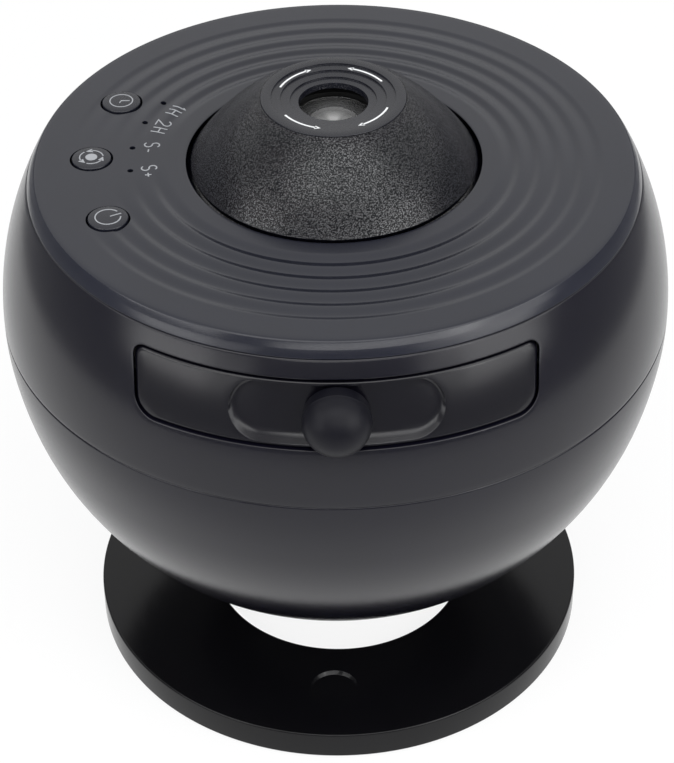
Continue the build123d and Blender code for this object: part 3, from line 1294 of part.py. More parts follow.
# ---------------------------------------------------------------- power and main board
BOARD_R = 54.0
BOARD_TAB = (22.0, 15.0)
BOARD_TAB_X = 57.5
BOARD_SCREW_LENGTH = 7.0
CHIP_T = 2.0
CHIPS = {(-30, 8): (12, 12), (-30, -14): (9, 7), (28, -22): (10, 10), (-8, -34): (14, 6), (10, -38): (6, 5)}
CAPACITOR_AT = [(30, 4), (38, -8), (-14, 44)]
CAPACITOR_R = 3.2
CAPACITOR_T = 8.0
SOCKET_Y = (64.5, 72.5)
SOCKET_WALL = 0.3
SOCKET_BACK_T = 0.7
SOCKET_TONGUE = (6.6, 0.7)

with BuildPart() as main_board:
    with BuildSketch(level(BOARD_H)):
        Circle(BOARD_R)
        with PolarLocations(BOARD_TAB_X, 1, 90 - SOCKET_TURN_DEG):
            Rectangle(*BOARD_TAB)
        with Locations(*BOSS_AT):
            Circle(BOSS_R + BUTTON_GAP, mode=Mode.SUBTRACT)
        with Locations(*BOARD_POSTS):
            Circle(SCREW_CLEAR_R, mode=Mode.SUBTRACT)
    extrude(amount=BOARD_T)
main_board.part.label = "main_board"
export_step(main_board.part, "parts/main_board.step")

with BuildPart() as board_parts:
    with BuildSketch(level(BOARD_H + BOARD_T)):
        for place, size in CHIPS.items():
            with Locations(place):
                Rectangle(*size)
    extrude(amount=CHIP_T)
    with BuildSketch(level(BOARD_H + BOARD_T)):
        with Locations(*CAPACITOR_AT):
            Circle(CAPACITOR_R)
    extrude(amount=CAPACITOR_T)
board_parts.part.label = "board_parts"
export_step(board_parts.part, "parts/board_parts.step")

with BuildPart() as board_screws:
    add(screw(BOARD_SCREW_LENGTH, BOARD_POSTS, BOARD_H + BOARD_T))
board_screws.part.label = "board_screws"
export_step(board_screws.part, "parts/board_screws.step")

with BuildPart() as charge_socket:
    socket_length = SOCKET_Y[1] - SOCKET_Y[0]
    with BuildSketch(socket_plane(SOCKET_Y[0])):
        SlotOverall(*SOCKET_SIZE)
    extrude(amount=socket_length)
    with BuildSketch(socket_plane(SOCKET_Y[0] + SOCKET_BACK_T)):
        SlotOverall(SOCKET_SIZE[0] - 2 * SOCKET_WALL, SOCKET_SIZE[1] - 2 * SOCKET_WALL)
        Rectangle(*SOCKET_TONGUE, mode=Mode.SUBTRACT)
    extrude(amount=socket_length, mode=Mode.SUBTRACT)
    with BuildSketch(socket_plane(SOCKET_Y[1] - SOCKET_BACK_T)):
        Rectangle(*SOCKET_TONGUE)
    extrude(amount=SOCKET_BACK_T, mode=Mode.SUBTRACT)
charge_socket.part.label = "charge_socket"
export_step(charge_socket.part, "parts/charge_socket.step")

with BuildPart() as socket_bezel:
    with BuildSketch(socket_plane(BEZEL_Y[0])):
        RectangleRounded(*BEZEL_SIZE, BEZEL_CORNER_R)
        SlotOverall(SOCKET_SIZE[0] + 2 * FIT, SOCKET_SIZE[1] + 2 * FIT, mode=Mode.SUBTRACT)
    extrude(amount=BEZEL_Y[1] - BEZEL_Y[0])
socket_bezel.part.label = "socket_bezel"
export_step(socket_bezel.part, "parts/socket_bezel.step")

CELL_NUB_R = 3.0
CELL_NUB = 1.0
CELL_EDGE_R = 0.8
CRADLE_SIZE = (62.0, 24.0, 30.0)
CRADLE_H = -60.0
CRADLE_GAP = (46.0, 8.0)
CRADLE_GAP_Y = 9.5
CRADLE_SADDLE_H = -58.0
CELL_PLANE = Plane(origin=(-CELL_LENGTH / 2, 0, BALL_Z + CELL_H), x_dir=(0, 1, 0), z_dir=(1, 0, 0))

with BuildPart() as battery:
    with BuildSketch(CELL_PLANE):
        Circle(CELL_R)
    extrude(amount=CELL_LENGTH - CELL_NUB)
    fillet(battery.edges().filter_by(GeomType.CIRCLE), CELL_EDGE_R)
    with BuildSketch(CELL_PLANE.offset(CELL_LENGTH - CELL_NUB)):
        Circle(CELL_NUB_R)
    extrude(amount=CELL_NUB)
battery.part.label = "battery"
export_step(battery.part, "parts/battery.step")

with BuildPart() as battery_cradle:
    with Locations((0, 0, BALL_Z + CRADLE_H)):
        Box(*CRADLE_SIZE)
    with Locations(TO_BALL):
        Sphere(BOWL_IN_R - FIT, mode=Mode.INTERSECT)
    with BuildSketch(CELL_PLANE.offset(-CELL_R)):
        Circle(CELL_R + FIT)
    extrude(amount=CELL_LENGTH + 2 * CELL_R, mode=Mode.SUBTRACT)
    with BuildSketch(level(-BALL_R)):
        with Locations((0, CRADLE_GAP_Y), (0, -CRADLE_GAP_Y)):
            Rectangle(*CRADLE_GAP)
    extrude(amount=CRADLE_SIZE[2] + PAST, mode=Mode.SUBTRACT)
    with BuildSketch(level(CRADLE_SADDLE_H)):
        Rectangle(CRADLE_GAP[0], CRADLE_SIZE[1] + PAST)
    extrude(amount=CRADLE_SIZE[2], mode=Mode.SUBTRACT)
battery_cradle.part.label = "battery_cradle"
export_step(battery_cradle.part, "parts/battery_cradle.step")
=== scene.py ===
"""Looks of the star night light projector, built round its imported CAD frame.

Meshes are worked out in millimetres in the frame's own axes and stored in metres.
Heights called h are measured from the ball's centre, as in the CAD source.
"""
import json
from math import acos, asin, atan2, cos, degrees, hypot, pi, radians, sin, sqrt, tan

import bmesh
import bpy
from mathutils import Matrix, Vector


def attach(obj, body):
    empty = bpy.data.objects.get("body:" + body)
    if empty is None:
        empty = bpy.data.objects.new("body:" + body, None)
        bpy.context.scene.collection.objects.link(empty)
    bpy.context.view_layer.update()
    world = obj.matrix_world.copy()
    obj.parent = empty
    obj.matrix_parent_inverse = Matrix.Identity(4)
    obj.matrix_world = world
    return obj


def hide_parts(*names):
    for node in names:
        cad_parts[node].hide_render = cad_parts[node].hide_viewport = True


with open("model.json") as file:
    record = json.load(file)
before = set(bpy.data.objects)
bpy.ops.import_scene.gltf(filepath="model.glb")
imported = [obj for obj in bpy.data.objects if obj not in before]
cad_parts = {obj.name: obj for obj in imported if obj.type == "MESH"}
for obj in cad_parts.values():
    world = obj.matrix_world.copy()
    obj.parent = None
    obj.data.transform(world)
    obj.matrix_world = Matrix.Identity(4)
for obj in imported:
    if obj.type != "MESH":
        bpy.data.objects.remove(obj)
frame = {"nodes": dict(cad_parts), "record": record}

for leftover in ("Cube", "Light", "Camera"):
    if leftover in bpy.data.objects:
        bpy.data.objects.remove(bpy.data.objects[leftover])
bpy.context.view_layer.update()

MM = 0.001

# ---------------------------------------------------------------- driving dimensions, in mm
BALL_R = 75.0
BALL_Z = 91.4
WALL = 2.5
SEAM_H = 1.0
SEAM_ROUND = 0.3
BOWL_R = 74.7
RIM_ROUND = 0.45
COVER_SEAM_H = 33.3
COVER_TOP_H = 36.7
COVER_FLAT_R = 65.3
COVER_UNDER_H = 34.2
COVER_LIP_H = 31.2
COVER_LIP_T = 1.6
COVER_HOLE_R = 32.0
HOLE_UNDERCUT = 2.4
COVER_LIP_R = 63.9
BEVEL_H = 35.1

RIPPLE_FIRST_R = 40.6
RIPPLE_PITCH = 4.55
RIPPLE_COUNT = 5
RIPPLE_DEPTH = 0.40
RIPPLE_FADE = 0.1
RIPPLE_END_DEG = (138.0, 176.0)
RIPPLE_START_DEG = 186.0
RIPPLE_START_LEAN = 16.0
RIPPLE_GROW_DEG = 22.0
RISER_WIDTH = 1.8

OPENING_HALF_W = 41.1
OPENING_H = (15.0, 29.6)
OPENING_ROUND = (4.2, 2.6)
FRONT_HALF_W = 40.7
FRONT_H = (15.25, 28.85)
FRONT_ROUND = (3.8, 2.2)
FRONT_R = BALL_R - 0.4
FRONT_T = 3.0
FRONT_COUNT = 100
FRONT_EDGE = ((0.0, 0.62), (0.03, 0.44), (0.10, 0.29), (0.22, 0.17), (0.38, 0.07), (0.55, 0.015), (0.62, 0.0))
SCOOP_HALF_W = 21.7
SCOOP_HALF_H = 6.1
SCOOP_H = 22.2
SCOOP_DEPTH = 1.3
SCOOP_LIP_R = 0.35
SCOOP_FLOOR_R = 1.9
SCOOP_SLOPE_DEG = 50
SCOOP_LEAN = 0.6
BOSS_AT = ((-28.0, 22.4), (28.0, 22.4))
BOSS_R = (1.25, 3.6)
BOSS_BACK_Y = -52.0
KNOB_R = 6.95
KNOB_H = 22.4
KNOB_Y = (-70.2, -73.5, -80.1)
KNOB_HOLLOW = (4.5, 0.9)
KNOB_RIDGE = 0.06

CONE_BASE_R = 31.3
CONE_BULGE = (24.2, 45.3)
CONE_RIM = (15.95, 51.95)
CONE_FLANGE = ((30.9, 35.4), (33.5, 33.8), (33.5, 32.4), (29.0, 32.4))
CONE_INSIDE = ((28.6, 36.1), (22.2, 43.8), (17.3, 47.2))
SLEEVE_WALL_R = 14.3
CAP_R = 15.7
CAP_TOP_H = 52.2
CAP_SEAT_H = 50.95
CAP_PLUG_R = 14.2
CAP_GAP = 0.05
CAP_STEPS_R = (13.4, 11.4, 9.3, 7.5)
CAP_STEP = 0.45
CAP_UNDER_H = 49.4

LENS_R = 9.9
LENS_SEAT_H = 41.4
LENS_EDGE_H = 44.2
LENS_NECK = (8.7, 46.5)
LENS_TIP_H = 48.4
# Inner and outer radius of the painted glint's pale ring on the lens's back.
PAINTED_GLINT_R = (1.4, 2.8)

BUTTON_R = 4.3
BUTTON_PROUD = 0.5
BUTTON_GAP = 0.45
BUTTON_FLANGE = (33.4, 34.0, 0.9)
BUTTON_RING_R = 52.9
BUTTON_ANGLES = {"timer": 154.6, "rotate": 180.0, "power": 205.4}
LIGHT_RING_R = 44.4
LIGHT_ANGLES = (149.6, 161.1, 174.6, 186.1)
LIGHT_R = 0.6

BASE_R = (30.3, 58.55)
BASE_Z = (0.6, 4.9, 7.3)
BASE_WALL = 2.4
BASE_EDGE_R = 0.5
BASE_POST_R = (1.25, 3.2)
BASE_POST_Z = (2.3, 5.0)
BASE_POST_RING_R = 44.5
BASE_POST_ANGLES = (35, 145, 215, 325)
ARM_SCREW_AT = ((-8.0, 50.0), (8.0, 50.0))
ARM_SCREW_HOLE_R = 1.5
PIVOT_HOLE = (7.1, 60.0, 90.0)
DIMPLE_AT = (-1.3, -43.4)
DIMPLE = ((1.0, -0.95, 0), (4.95, -0.95, 0.5), (5.75, 0.0, 0.25), (6.7, 0.06, 0), (6.7, 2.0, 0))


def rim(r, h):
    """Horizontal radius of a sphere of radius r at height h above its centre."""
    return sqrt(r * r - h * h)


def on_circle(r, angle):
    """Point on a circle about the ball's upright axis."""
    return (r * cos(radians(angle)), r * sin(radians(angle)))


def smoothstep(low, high, value):
    """0 below low, 1 above high, and smooth between."""
    t = min(max((value - low) / (high - low), 0.0), 1.0)
    return t * t * (3 - 2 * t)


# ---------------------------------------------------------------- mesh building
MERGE_MM = 0.002
CUTTER = "cutter"


def loft(loops, closed=False, cap_first=False, cap_last=False):
    """Points and faces of a skin through closed loops that all have the same number of points."""
    count = len(loops[0])
    points = [point for loop in loops for point in loop]
    faces = []
    for row in range(len(loops) if closed else len(loops) - 1):
        here, there = row * count, (row + 1) % len(loops) * count
        for column in range(count):
            after = (column + 1) % count
            faces.append((here + column, here + after, there + after, there + column))
    for wanted, start in ((cap_first, 0), (cap_last, (len(loops) - 1) * count)):
        if wanted:
            edge = points[start:start + count]
            points.append(tuple(sum(axis) / count for axis in zip(*edge)))
            middle = len(points) - 1
            faces += [(start + i, start + (i + 1) % count, middle) for i in range(count)]
    return points, faces


def together(skins):
    """Several skins as one."""
    points, faces = [], []
    for more_points, more_faces in skins:
        start = len(points)
        points += more_points
        faces += [tuple(start + i for i in face) for face in more_faces]
    return points, faces


def rounded(corners, steps=4, closed=True):
    """Outline through (x, y, radius) corners, with an arc of that radius at each."""
    outline = []
    for index, (x, y, radius) in enumerate(corners):
        ends = not closed and index in (0, len(corners) - 1)
        if radius == 0 or ends:
            outline.append((x, y))
            continue
        before, after = corners[index - 1], corners[(index + 1) % len(corners)]
        corner = Vector((x, y))
        back = (Vector(before[:2]) - corner).normalized()
        ahead = (Vector(after[:2]) - corner).normalized()
        half = acos(max(-1.0, min(1.0, back.dot(ahead)))) / 2
        centre = corner + (back + ahead).normalized() * (radius / sin(half))
        start = corner + back * (radius / tan(half)) - centre
        sweep = (pi - 2 * half) * (1 if back.x * ahead.y - back.y * ahead.x < 0 else -1)
        for step in range(steps + 1):
            arm = Matrix.Rotation(sweep * step / steps, 2) @ start
            outline.append(tuple(centre + arm))
    return outline


def round_turn(count, shift=0.0):
    """Evenly spaced angles of a whole turn, in radians."""
    return [2 * pi * (i + shift) / count for i in range(count)]


def turned(outline, segments=192):
    """Loops of an (r, h) outline turned about the ball's upright axis."""
    turns = round_turn(segments)
    return [[(r * cos(a), r * sin(a), BALL_Z + h) for a in turns] for r, h in outline]


def moved(loops, x, y, z=0.0):
    """The loops shifted."""
    return [[(px + x, py + y, pz + z) for px, py, pz in loop] for loop in loops]


def mesh_of(name, skin):
    """Mesh of a skin, its faces all turned outwards."""
    points, faces = skin
    mesh = bpy.data.meshes.new(name)
    mesh.from_pydata([Vector(point) * MM for point in points], [], faces)
    shape = bmesh.new()
    shape.from_mesh(mesh)
    if name != CUTTER:
        bmesh.ops.remove_doubles(shape, verts=shape.verts, dist=MERGE_MM * MM)
        bmesh.ops.dissolve_degenerate(shape, edges=shape.edges, dist=MERGE_MM / 2 * MM)
    bmesh.ops.recalc_face_normals(shape, faces=shape.faces)
    shape.to_mesh(mesh)
    shape.free()
    return mesh


def make(name, skin, body, material, stands_for=(), crease=32.0, cutters=()):
    """One closed mesh piece, smooth but for edges sharper than crease, riding on a body."""
    piece = bpy.data.objects.new(name, mesh_of(name, skin))
    bpy.context.scene.collection.objects.link(piece)
    for cutter in cutters:
        cut(piece, cutter)
    piece.data.polygons.foreach_set("use_smooth", [True] * len(piece.data.polygons))
    piece.data.set_sharp_from_angle(angle=radians(crease))
    piece.data.materials.clear()
    piece.data.materials.append(material)
    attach(piece, body)
    if stands_for:
        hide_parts(*stands_for)


def cut(piece, skin):
    """Takes one closed skin out of a piece."""
    cutter = bpy.data.objects.new(CUTTER, mesh_of(CUTTER, skin))
    bpy.context.scene.collection.objects.link(cutter)
    modifier = piece.modifiers.new("cut", "BOOLEAN")
    modifier.object = cutter
    modifier.operation = "DIFFERENCE"
    modifier.solver = "EXACT"
    graph = bpy.context.evaluated_depsgraph_get()
    result = bpy.data.meshes.new_from_object(piece.evaluated_get(graph))
    piece.modifiers.clear()
    piece.data = result
    bpy.data.objects.remove(cutter)


def peg(r, low, high, place, segments=64):
    """Upright round cutter between two heights, turned a little so that its edges miss the piece's."""
    x, y = place
    turns = round_turn(segments, 0.3)
    loops = [[(x + r * cos(a), y + r * sin(a), BALL_Z + h) for a in turns] for h in (low, high)]
    return loft(loops, cap_first=True, cap_last=True)


# ---------------------------------------------------------------- materials
def fill(node, inputs):
    """Sets a node's inputs, or links those that are given as another node's output."""
    for key, value in inputs.items():
        if isinstance(value, bpy.types.NodeSocket):
            node.id_data.links.new(value, node.inputs[key])
        else:
            node.inputs[key].default_value = value


def new_material(name):
    """A material, its Principled shader, a helper that adds nodes, and the place on the object."""
    material = bpy.data.materials.new(name)
    material.use_nodes = True
    tree = material.node_tree
    shader = next(node for node in tree.nodes if node.type == "BSDF_PRINCIPLED")

    def add(kind, inputs=(), **settings):
        node = tree.nodes.new(kind)
        for key, value in settings.items():
            setattr(node, key, value)
        fill(node, dict(inputs))
        return node

    return material, shader, add, add("ShaderNodeTexCoord").outputs["Object"]


def remap(add, value, source=(0.0, 1.0), target=(0.0, 1.0), **settings):
    """Value carried from the source range to the target range."""
    ranges = zip(("From Min", "From Max", "To Min", "To Max"), (*source, *target))
    return add("ShaderNodeMapRange", {"Value": value, **dict(ranges)}, **settings).outputs["Result"]


def reckon(add, operation, *values):
    """Result of one Math node."""
    return add("ShaderNodeMath", dict(enumerate(values)), operation=operation).outputs["Value"]


def scaled(add, first, second):
    """Product of a vector or colour with another, or with a number."""
    return add("ShaderNodeVectorMath", {0: first, 1: second}, operation="MULTIPLY").outputs["Vector"]


def noise(add, place, scale, detail, **inputs):
    """Noise between 0 and 1."""
    wanted = {"Vector": place, "Scale": scale, "Detail": detail, **inputs}
    return add("ShaderNodeTexNoise", wanted).outputs["Fac"]


def bumped(add, height, depth_mm):
    """Normal of a surface that a height of 1 raises by depth_mm."""
    node = add("ShaderNodeBump", {"Height": height, "Strength": 1.0, "Distance": depth_mm * MM})
    return node.outputs["Normal"]


def plastic(name, colour, rough, grain_mm=0.5, grain_depth=0.004, specular=0.5, coat=0.0):
    """Moulded plastic with mottled colour, uneven gloss and a fine moulded texture."""
    material, shader, add, place = new_material(name)
    tint = remap(add, noise(add, place, 60.0, 3.0, Roughness=0.6), target=(0.8, 1.2))
    grain = noise(add, place, 1.0 / (grain_mm * MM), 2.0, Roughness=0.55)
    fill(shader, {
        "Base Color": scaled(add, colour, tint),
        "Roughness": remap(add, grain, (0.3, 0.7), (rough - 0.05, rough + 0.05)),
        "Normal": bumped(add, grain, grain_depth),
        "Specular IOR Level": specular,
        "Coat Weight": coat,
    })
    return material


def leather(name, colour, rough, cell_mm, depth_mm):
    """Black plastic moulded with a fine leather grain, with painted shade in the grain: colour and reflection
    are darkened in its pits and lightened on its crests.
    """
    material, shader, add, place = new_material(name)
    grain = noise(add, place, 1.0 / (cell_mm * MM), 1.0)
    height = remap(add, grain, (0.38, 0.70), interpolation_type="SMOOTHSTEP")
    # Painted shade: the colour and the reflection level follow the grain's height, dark in the pits and light
    # on the crests.
    fill(shader, {
        "Base Color": scaled(add, colour, remap(add, height, target=(0.4, 1.3))),
        "Roughness": rough,
        "Normal": bumped(add, height, depth_mm),
        "Specular IOR Level": remap(add, height, target=(0.12, 1.0)),
    })
    return material


def metal(name, colour, rough):
    """Bare metal with fine drawn streaks."""
    material, shader, add, place = new_material(name)
    stretched = add("ShaderNodeMapping", {"Vector": place, "Scale": (400.0, 400.0, 4000.0)})
    streaks = noise(add, stretched.outputs["Vector"], 1.0, 4.0)
    fill(shader, {
        "Base Color": (*colour, 1.0),
        "Metallic": 1.0,
        "Roughness": remap(add, streaks, target=(rough - 0.1, rough + 0.12)),
    })
    return material


def glass(name, colour, rough, ior):
    """Moulded or ground glass with a trace of unevenness."""
    material, shader, add, place = new_material(name)
    film = noise(add, place, 250.0, 2.0)
    fill(shader, {
        "Base Color": (*colour, 1.0),
        "Roughness": remap(add, film, target=(rough, rough + 0.04)),
        "Transmission Weight": 1.0,
        "IOR": ior,
    })
    return material


def painted_lamp_glint(add, place):
    """Painted glint on the lens's back: a pale ring about the axis, in four petals, standing in for the lit
    lamp and optics seen through the lens.
    """
    inner, outer = PAINTED_GLINT_R
    reach = add("ShaderNodeVectorMath", {0: scaled(add, place, (1.0, 1.0, 0.0))}, operation="LENGTH")
    reach = reach.outputs["Value"]
    rise = remap(add, reach, ((inner - 0.5) * MM, inner * MM))
    fall = remap(add, reach, (outer * MM, (outer + 2.0) * MM), (1.0, 0.08))
    axes = add("ShaderNodeSeparateXYZ", {"Vector": place}).outputs
    bearing = reckon(add, "ARCTAN2", axes["Y"], axes["X"])
    wave = reckon(add, "COSINE", reckon(add, "MULTIPLY", bearing, 4.0))
    petals = remap(add, wave, (-0.4, 0.6), (0.45, 1.0))
    band = reckon(add, "MULTIPLY", remap(add, rise, target=(0.22, 1.0)), fall)
    return reckon(add, "MULTIPLY", band, petals)


def lens_with_painted_glint(name):
    """Clear projection lens whose flat back carries a painted glint, a pale ring in place of the lit lamp
    seen through it.
    """
    material, shader, add, place = new_material(name)
    height = add("ShaderNodeSeparateXYZ", {"Vector": place}).outputs["Z"]
    back = (BALL_Z + LENS_SEAT_H) * MM
    clear = remap(add, height, (back + 0.1 * MM, back + 0.3 * MM), (0.0, 0.95))
    fill(shader, {
        # Painted glint: the opaque back of the lens takes the pale ring as its colour.
        "Base Color": remap(add, clear, target=(painted_lamp_glint(add, place), 0.92)),
        "Roughness": 0.02,
        "Transmission Weight": clear,
        "IOR": 1.52,
    })
    return material


def night_sky(name):
    """Printed film: dark blue with scattered clear stars."""
    material, shader, add, place = new_material(name)
    spots = add("ShaderNodeTexVoronoi", {"Vector": place, "Scale": 420.0})
    star = remap(add, spots.outputs["Distance"], (0.08, 0.16), (1.0, 0.0))
    cloud = noise(add, place, 70.0, 5.0)
    blues = {6: (0.004, 0.006, 0.03, 1.0), 7: (0.03, 0.05, 0.20, 1.0)}
    haze = add("ShaderNodeMix", {"Factor": cloud, **blues}, data_type="RGBA").outputs[2]
    sky = add("ShaderNodeMix", {"Factor": star, 6: haze, 7: (0.85, 0.88, 1.0, 1.0)}, data_type="RGBA")
    fill(shader, {"Base Color": sky.outputs[2], "Roughness": 0.12, "Coat Weight": 0.5})
    return material


COVER = plastic("cover", (0.0066, 0.0076, 0.0145), 0.22, grain_mm=0.30, grain_depth=0.008)
SHELL = plastic("shell", (0.0026, 0.0024, 0.0060), 0.20, grain_mm=0.28, grain_depth=0.013, specular=0.43)
BOWL = plastic("bowl", (0.0026, 0.0024, 0.0064), 0.21, grain_mm=0.28, grain_depth=0.013, specular=0.38)
DRAWER = plastic("drawer", (0.0024, 0.0022, 0.0045), 0.20, grain_mm=0.28, grain_depth=0.009, specular=0.44)
KNOB = plastic("knob", (0.0028, 0.0028, 0.0060), 0.44, grain_mm=0.28, grain_depth=0.008, specular=0.20)
BASE = plastic("base", (0.0028, 0.0027, 0.0034), 0.18, grain_mm=0.40, grain_depth=0.003, specular=0.25)
CAP = plastic("cap", (0.0055, 0.0060, 0.0105), 0.28, grain_mm=0.30, grain_depth=0.004)
BUTTON = plastic("button", (0.0068, 0.0076, 0.0130), 0.28, grain_mm=0.30, grain_depth=0.005)
CONE = leather("cone", (0.0026, 0.0026, 0.0056), 0.18, 0.28, 0.021)
INNER = plastic("inner", (0.012, 0.012, 0.012), 0.45, grain_mm=0.6, grain_depth=0.004)
SLIDE = plastic("slide", (0.55, 0.54, 0.50), 0.40, grain_mm=0.8, grain_depth=0.003)
GEAR = plastic("gear", (0.78, 0.78, 0.76), 0.38, grain_mm=0.8, grain_depth=0.003)
RUBBER = plastic("rubber", (0.020, 0.020, 0.020), 0.80, grain_mm=0.25, grain_depth=0.015, specular=0.3)
PRINT = plastic("print", (0.33, 0.34, 0.36), 0.45, grain_mm=0.20, grain_depth=0.001)
ARROW = plastic("arrow", (0.86, 0.87, 0.88), 0.45, grain_mm=0.20, grain_depth=0.001)
BOARD = plastic("board", (0.012, 0.11, 0.045), 0.30, grain_mm=1.2, grain_depth=0.004)
CHIP = plastic("chip", (0.018, 0.018, 0.018), 0.40, grain_mm=0.4, grain_depth=0.003)
WRAP = plastic("wrap", (0.02, 0.10, 0.36), 0.22, grain_mm=2.0, grain_depth=0.010, coat=0.3)
PHOSPHOR = plastic("phosphor", (0.80, 0.68, 0.18), 0.30, grain_mm=0.3, grain_depth=0.002)
PALE = plastic("pale", (0.75, 0.75, 0.70), 0.30, grain_mm=0.3, grain_depth=0.002)
STEEL = metal("steel", (0.58, 0.58, 0.60), 0.28)
ALUMINIUM = metal("aluminium", (0.78, 0.79, 0.80), 0.36)
LENS = lens_with_painted_glint("lens")
ACRYLIC = glass("acrylic", (0.93, 0.94, 0.95), 0.06, 1.49)
FILM = night_sky("film")

SLOT_MATERIALS = {
    "cover_plastic": COVER, "shell_plastic": SHELL, "bowl_plastic": BOWL, "base_gloss": BASE,
    "drawer_plastic": DRAWER, "button_plastic": BUTTON, "cone_grain": CONE, "cap_plastic": CAP,
    "inner_plastic": INNER, "slide_plastic": SLIDE, "gear_plastic": GEAR, "film_clear": FILM,
    "lens_glass": LENS, "guide_clear": ACRYLIC, "foot_rubber": RUBBER, "steel": STEEL,
    "heat_metal": ALUMINIUM, "cell_wrap": WRAP, "board_green": BOARD, "chip_black": CHIP,
    "led_yellow": PHOSPHOR, "led_white": PALE,
}
for part in frame["record"]["subparts"]:
    for socket in frame["nodes"][part["node"]].material_slots:
        socket.material = SLOT_MATERIALS[part["material_slot"]]


# ---------------------------------------------------------------- top cover
def ripple(r):
    """Depth of the ripples at a radius: each falls slowly outwards and rises in a short riser."""
    for ring in range(RIPPLE_COUNT):
        riser_r = RIPPLE_FIRST_R + ring * RIPPLE_PITCH
        start = riser_r - RIPPLE_PITCH
        if start <= r <= riser_r:
            depth = RIPPLE_DEPTH * (1 - RIPPLE_FADE * ring)
            bottom = riser_r - RISER_WIDTH
            return depth * (smoothstep(start, bottom, r) if r < bottom else smoothstep(riser_r, bottom, r))
    return 0.0


def ripple_strength(r, angle):
    """Share of the ripples' depth at a place: they die away round the buttons."""
    angle %= 360
    if angle < 180:
        return 1 - smoothstep(*RIPPLE_END_DEG, angle)
    outward = (r - RIPPLE_FIRST_R) / (RIPPLE_PITCH * (RIPPLE_COUNT - 1))
    start = RIPPLE_START_DEG + RIPPLE_START_LEAN * outward
    return smoothstep(start, start + RIPPLE_GROW_DEG, angle)


def dip(x, y):
    """How far the ripples take the plate down at a place."""
    r = hypot(x, y)
    return ripple(r) * ripple_strength(r, degrees(atan2(y, x)))


def cover_outline():
    """(r, h, rippled) corners round the cover's section, from the hole outwards and back under it."""
    foot_r = COVER_HOLE_R + HOLE_UNDERCUT
    lip = rounded([(foot_r, COVER_UNDER_H, 0), (COVER_HOLE_R, COVER_TOP_H, 0.2), (40.0, COVER_TOP_H, 0)])
    plate, r = [], COVER_HOLE_R + 1.0
    while r < COVER_FLAT_R - 1.5:
        plate.append((r, COVER_TOP_H, True))
        near_riser = (r - RIPPLE_FIRST_R) % RIPPLE_PITCH > RIPPLE_PITCH - RISER_WIDTH - 0.5
        r += 0.12 if near_riser else 0.35
    seam = (rim(BALL_R, COVER_SEAM_H), COVER_SEAM_H)
    bevel = rounded([
        (COVER_FLAT_R - 1.5, COVER_TOP_H, 0), (COVER_FLAT_R, COVER_TOP_H, 0.9),
        (rim(BALL_R, BEVEL_H), BEVEL_H, 0.6), (*seam, 0),
    ], closed=False)
    above_seam = (rim(BALL_R, COVER_SEAM_H + 0.8), COVER_SEAM_H + 0.8, 0)
    edge = rounded([above_seam, (*seam, 0.2), (COVER_LIP_R, COVER_SEAM_H, 0)], closed=False)
    inside_r = COVER_LIP_R - COVER_LIP_T
    back = [(COVER_LIP_R, COVER_LIP_H), (inside_r, COVER_LIP_H), (inside_r, COVER_UNDER_H)]
    before = [(foot_r, COVER_UNDER_H)] + lip[1:-1]
    after = bevel[:-1] + edge[1:] + back
    return [(r, h, False) for r, h in before] + plate + [(r, h, False) for r, h in after]


def cover_skin(segments=480):
    """Skin of the cover before its holes are cut."""
    turns = [360 * i / segments for i in range(segments)]
    loops = []
    for r, h, rippled in cover_outline():
        drop = ripple(r) if rippled else 0.0
        loops.append([(*on_circle(r, a), BALL_Z + h - drop * ripple_strength(r, a)) for a in turns])
    return loft(loops, closed=True)


BUTTON_AT = {name: on_circle(BUTTON_RING_R, angle) for name, angle in BUTTON_ANGLES.items()}
LIGHT_AT = [on_circle(LIGHT_RING_R, angle) for angle in LIGHT_ANGLES]
through = (COVER_UNDER_H - 4.2, COVER_TOP_H + 3.3)
holes = [peg(BUTTON_R + BUTTON_GAP, *through, place, 96) for place in BUTTON_AT.values()]
holes += [peg(LIGHT_R + 0.05, *through, place, 32) for place in LIGHT_AT]
make("cover_skin", cover_skin(), "ball", COVER, ["top_cover"], crease=50, cutters=holes)


def button_skin(x, y):
    """Round button with a flange under the plate and a softly rounded top."""
    foot_h, flange_h, flange = BUTTON_FLANGE
    top_h = COVER_TOP_H + BUTTON_PROUD
    section = rounded([
        (0, foot_h, 0), (BUTTON_R + flange, foot_h, 0), (BUTTON_R + flange, flange_h, 0),
        (BUTTON_R, flange_h, 0), (BUTTON_R, top_h - 0.15, 0.3), (BUTTON_R - 1.2, top_h, 0), (0, top_h, 0),
    ], closed=False)
    return loft(moved(turned(section[1:-1], 96), x, y), cap_first=True, cap_last=True)


for name, place in BUTTON_AT.items():
    skin = button_skin(*place)
    make(f"{name}_button_skin", skin, f"{name}_button", BUTTON, [f"{name}_button"])


# ---------------------------------------------------------------- rounded openings on the ball's front
def quarter(corners, count):
    """count + 1 points evenly spaced along a polyline."""
    lengths = [0.0]
    for a, b in zip(corners, corners[1:]):
        lengths.append(lengths[-1] + hypot(b[0] - a[0], b[1] - a[1]))
    points, leg = [], 0
    for i in range(count + 1):
        want = lengths[-1] * i / count
        while leg < len(corners) - 2 and lengths[leg + 1] < want:
            leg += 1
        t = (want - lengths[leg]) / (lengths[leg + 1] - lengths[leg])
        a, b = corners[leg], corners[leg + 1]
        points.append((a[0] + (b[0] - a[0]) * t, a[1] + (b[1] - a[1]) * t))
    return points


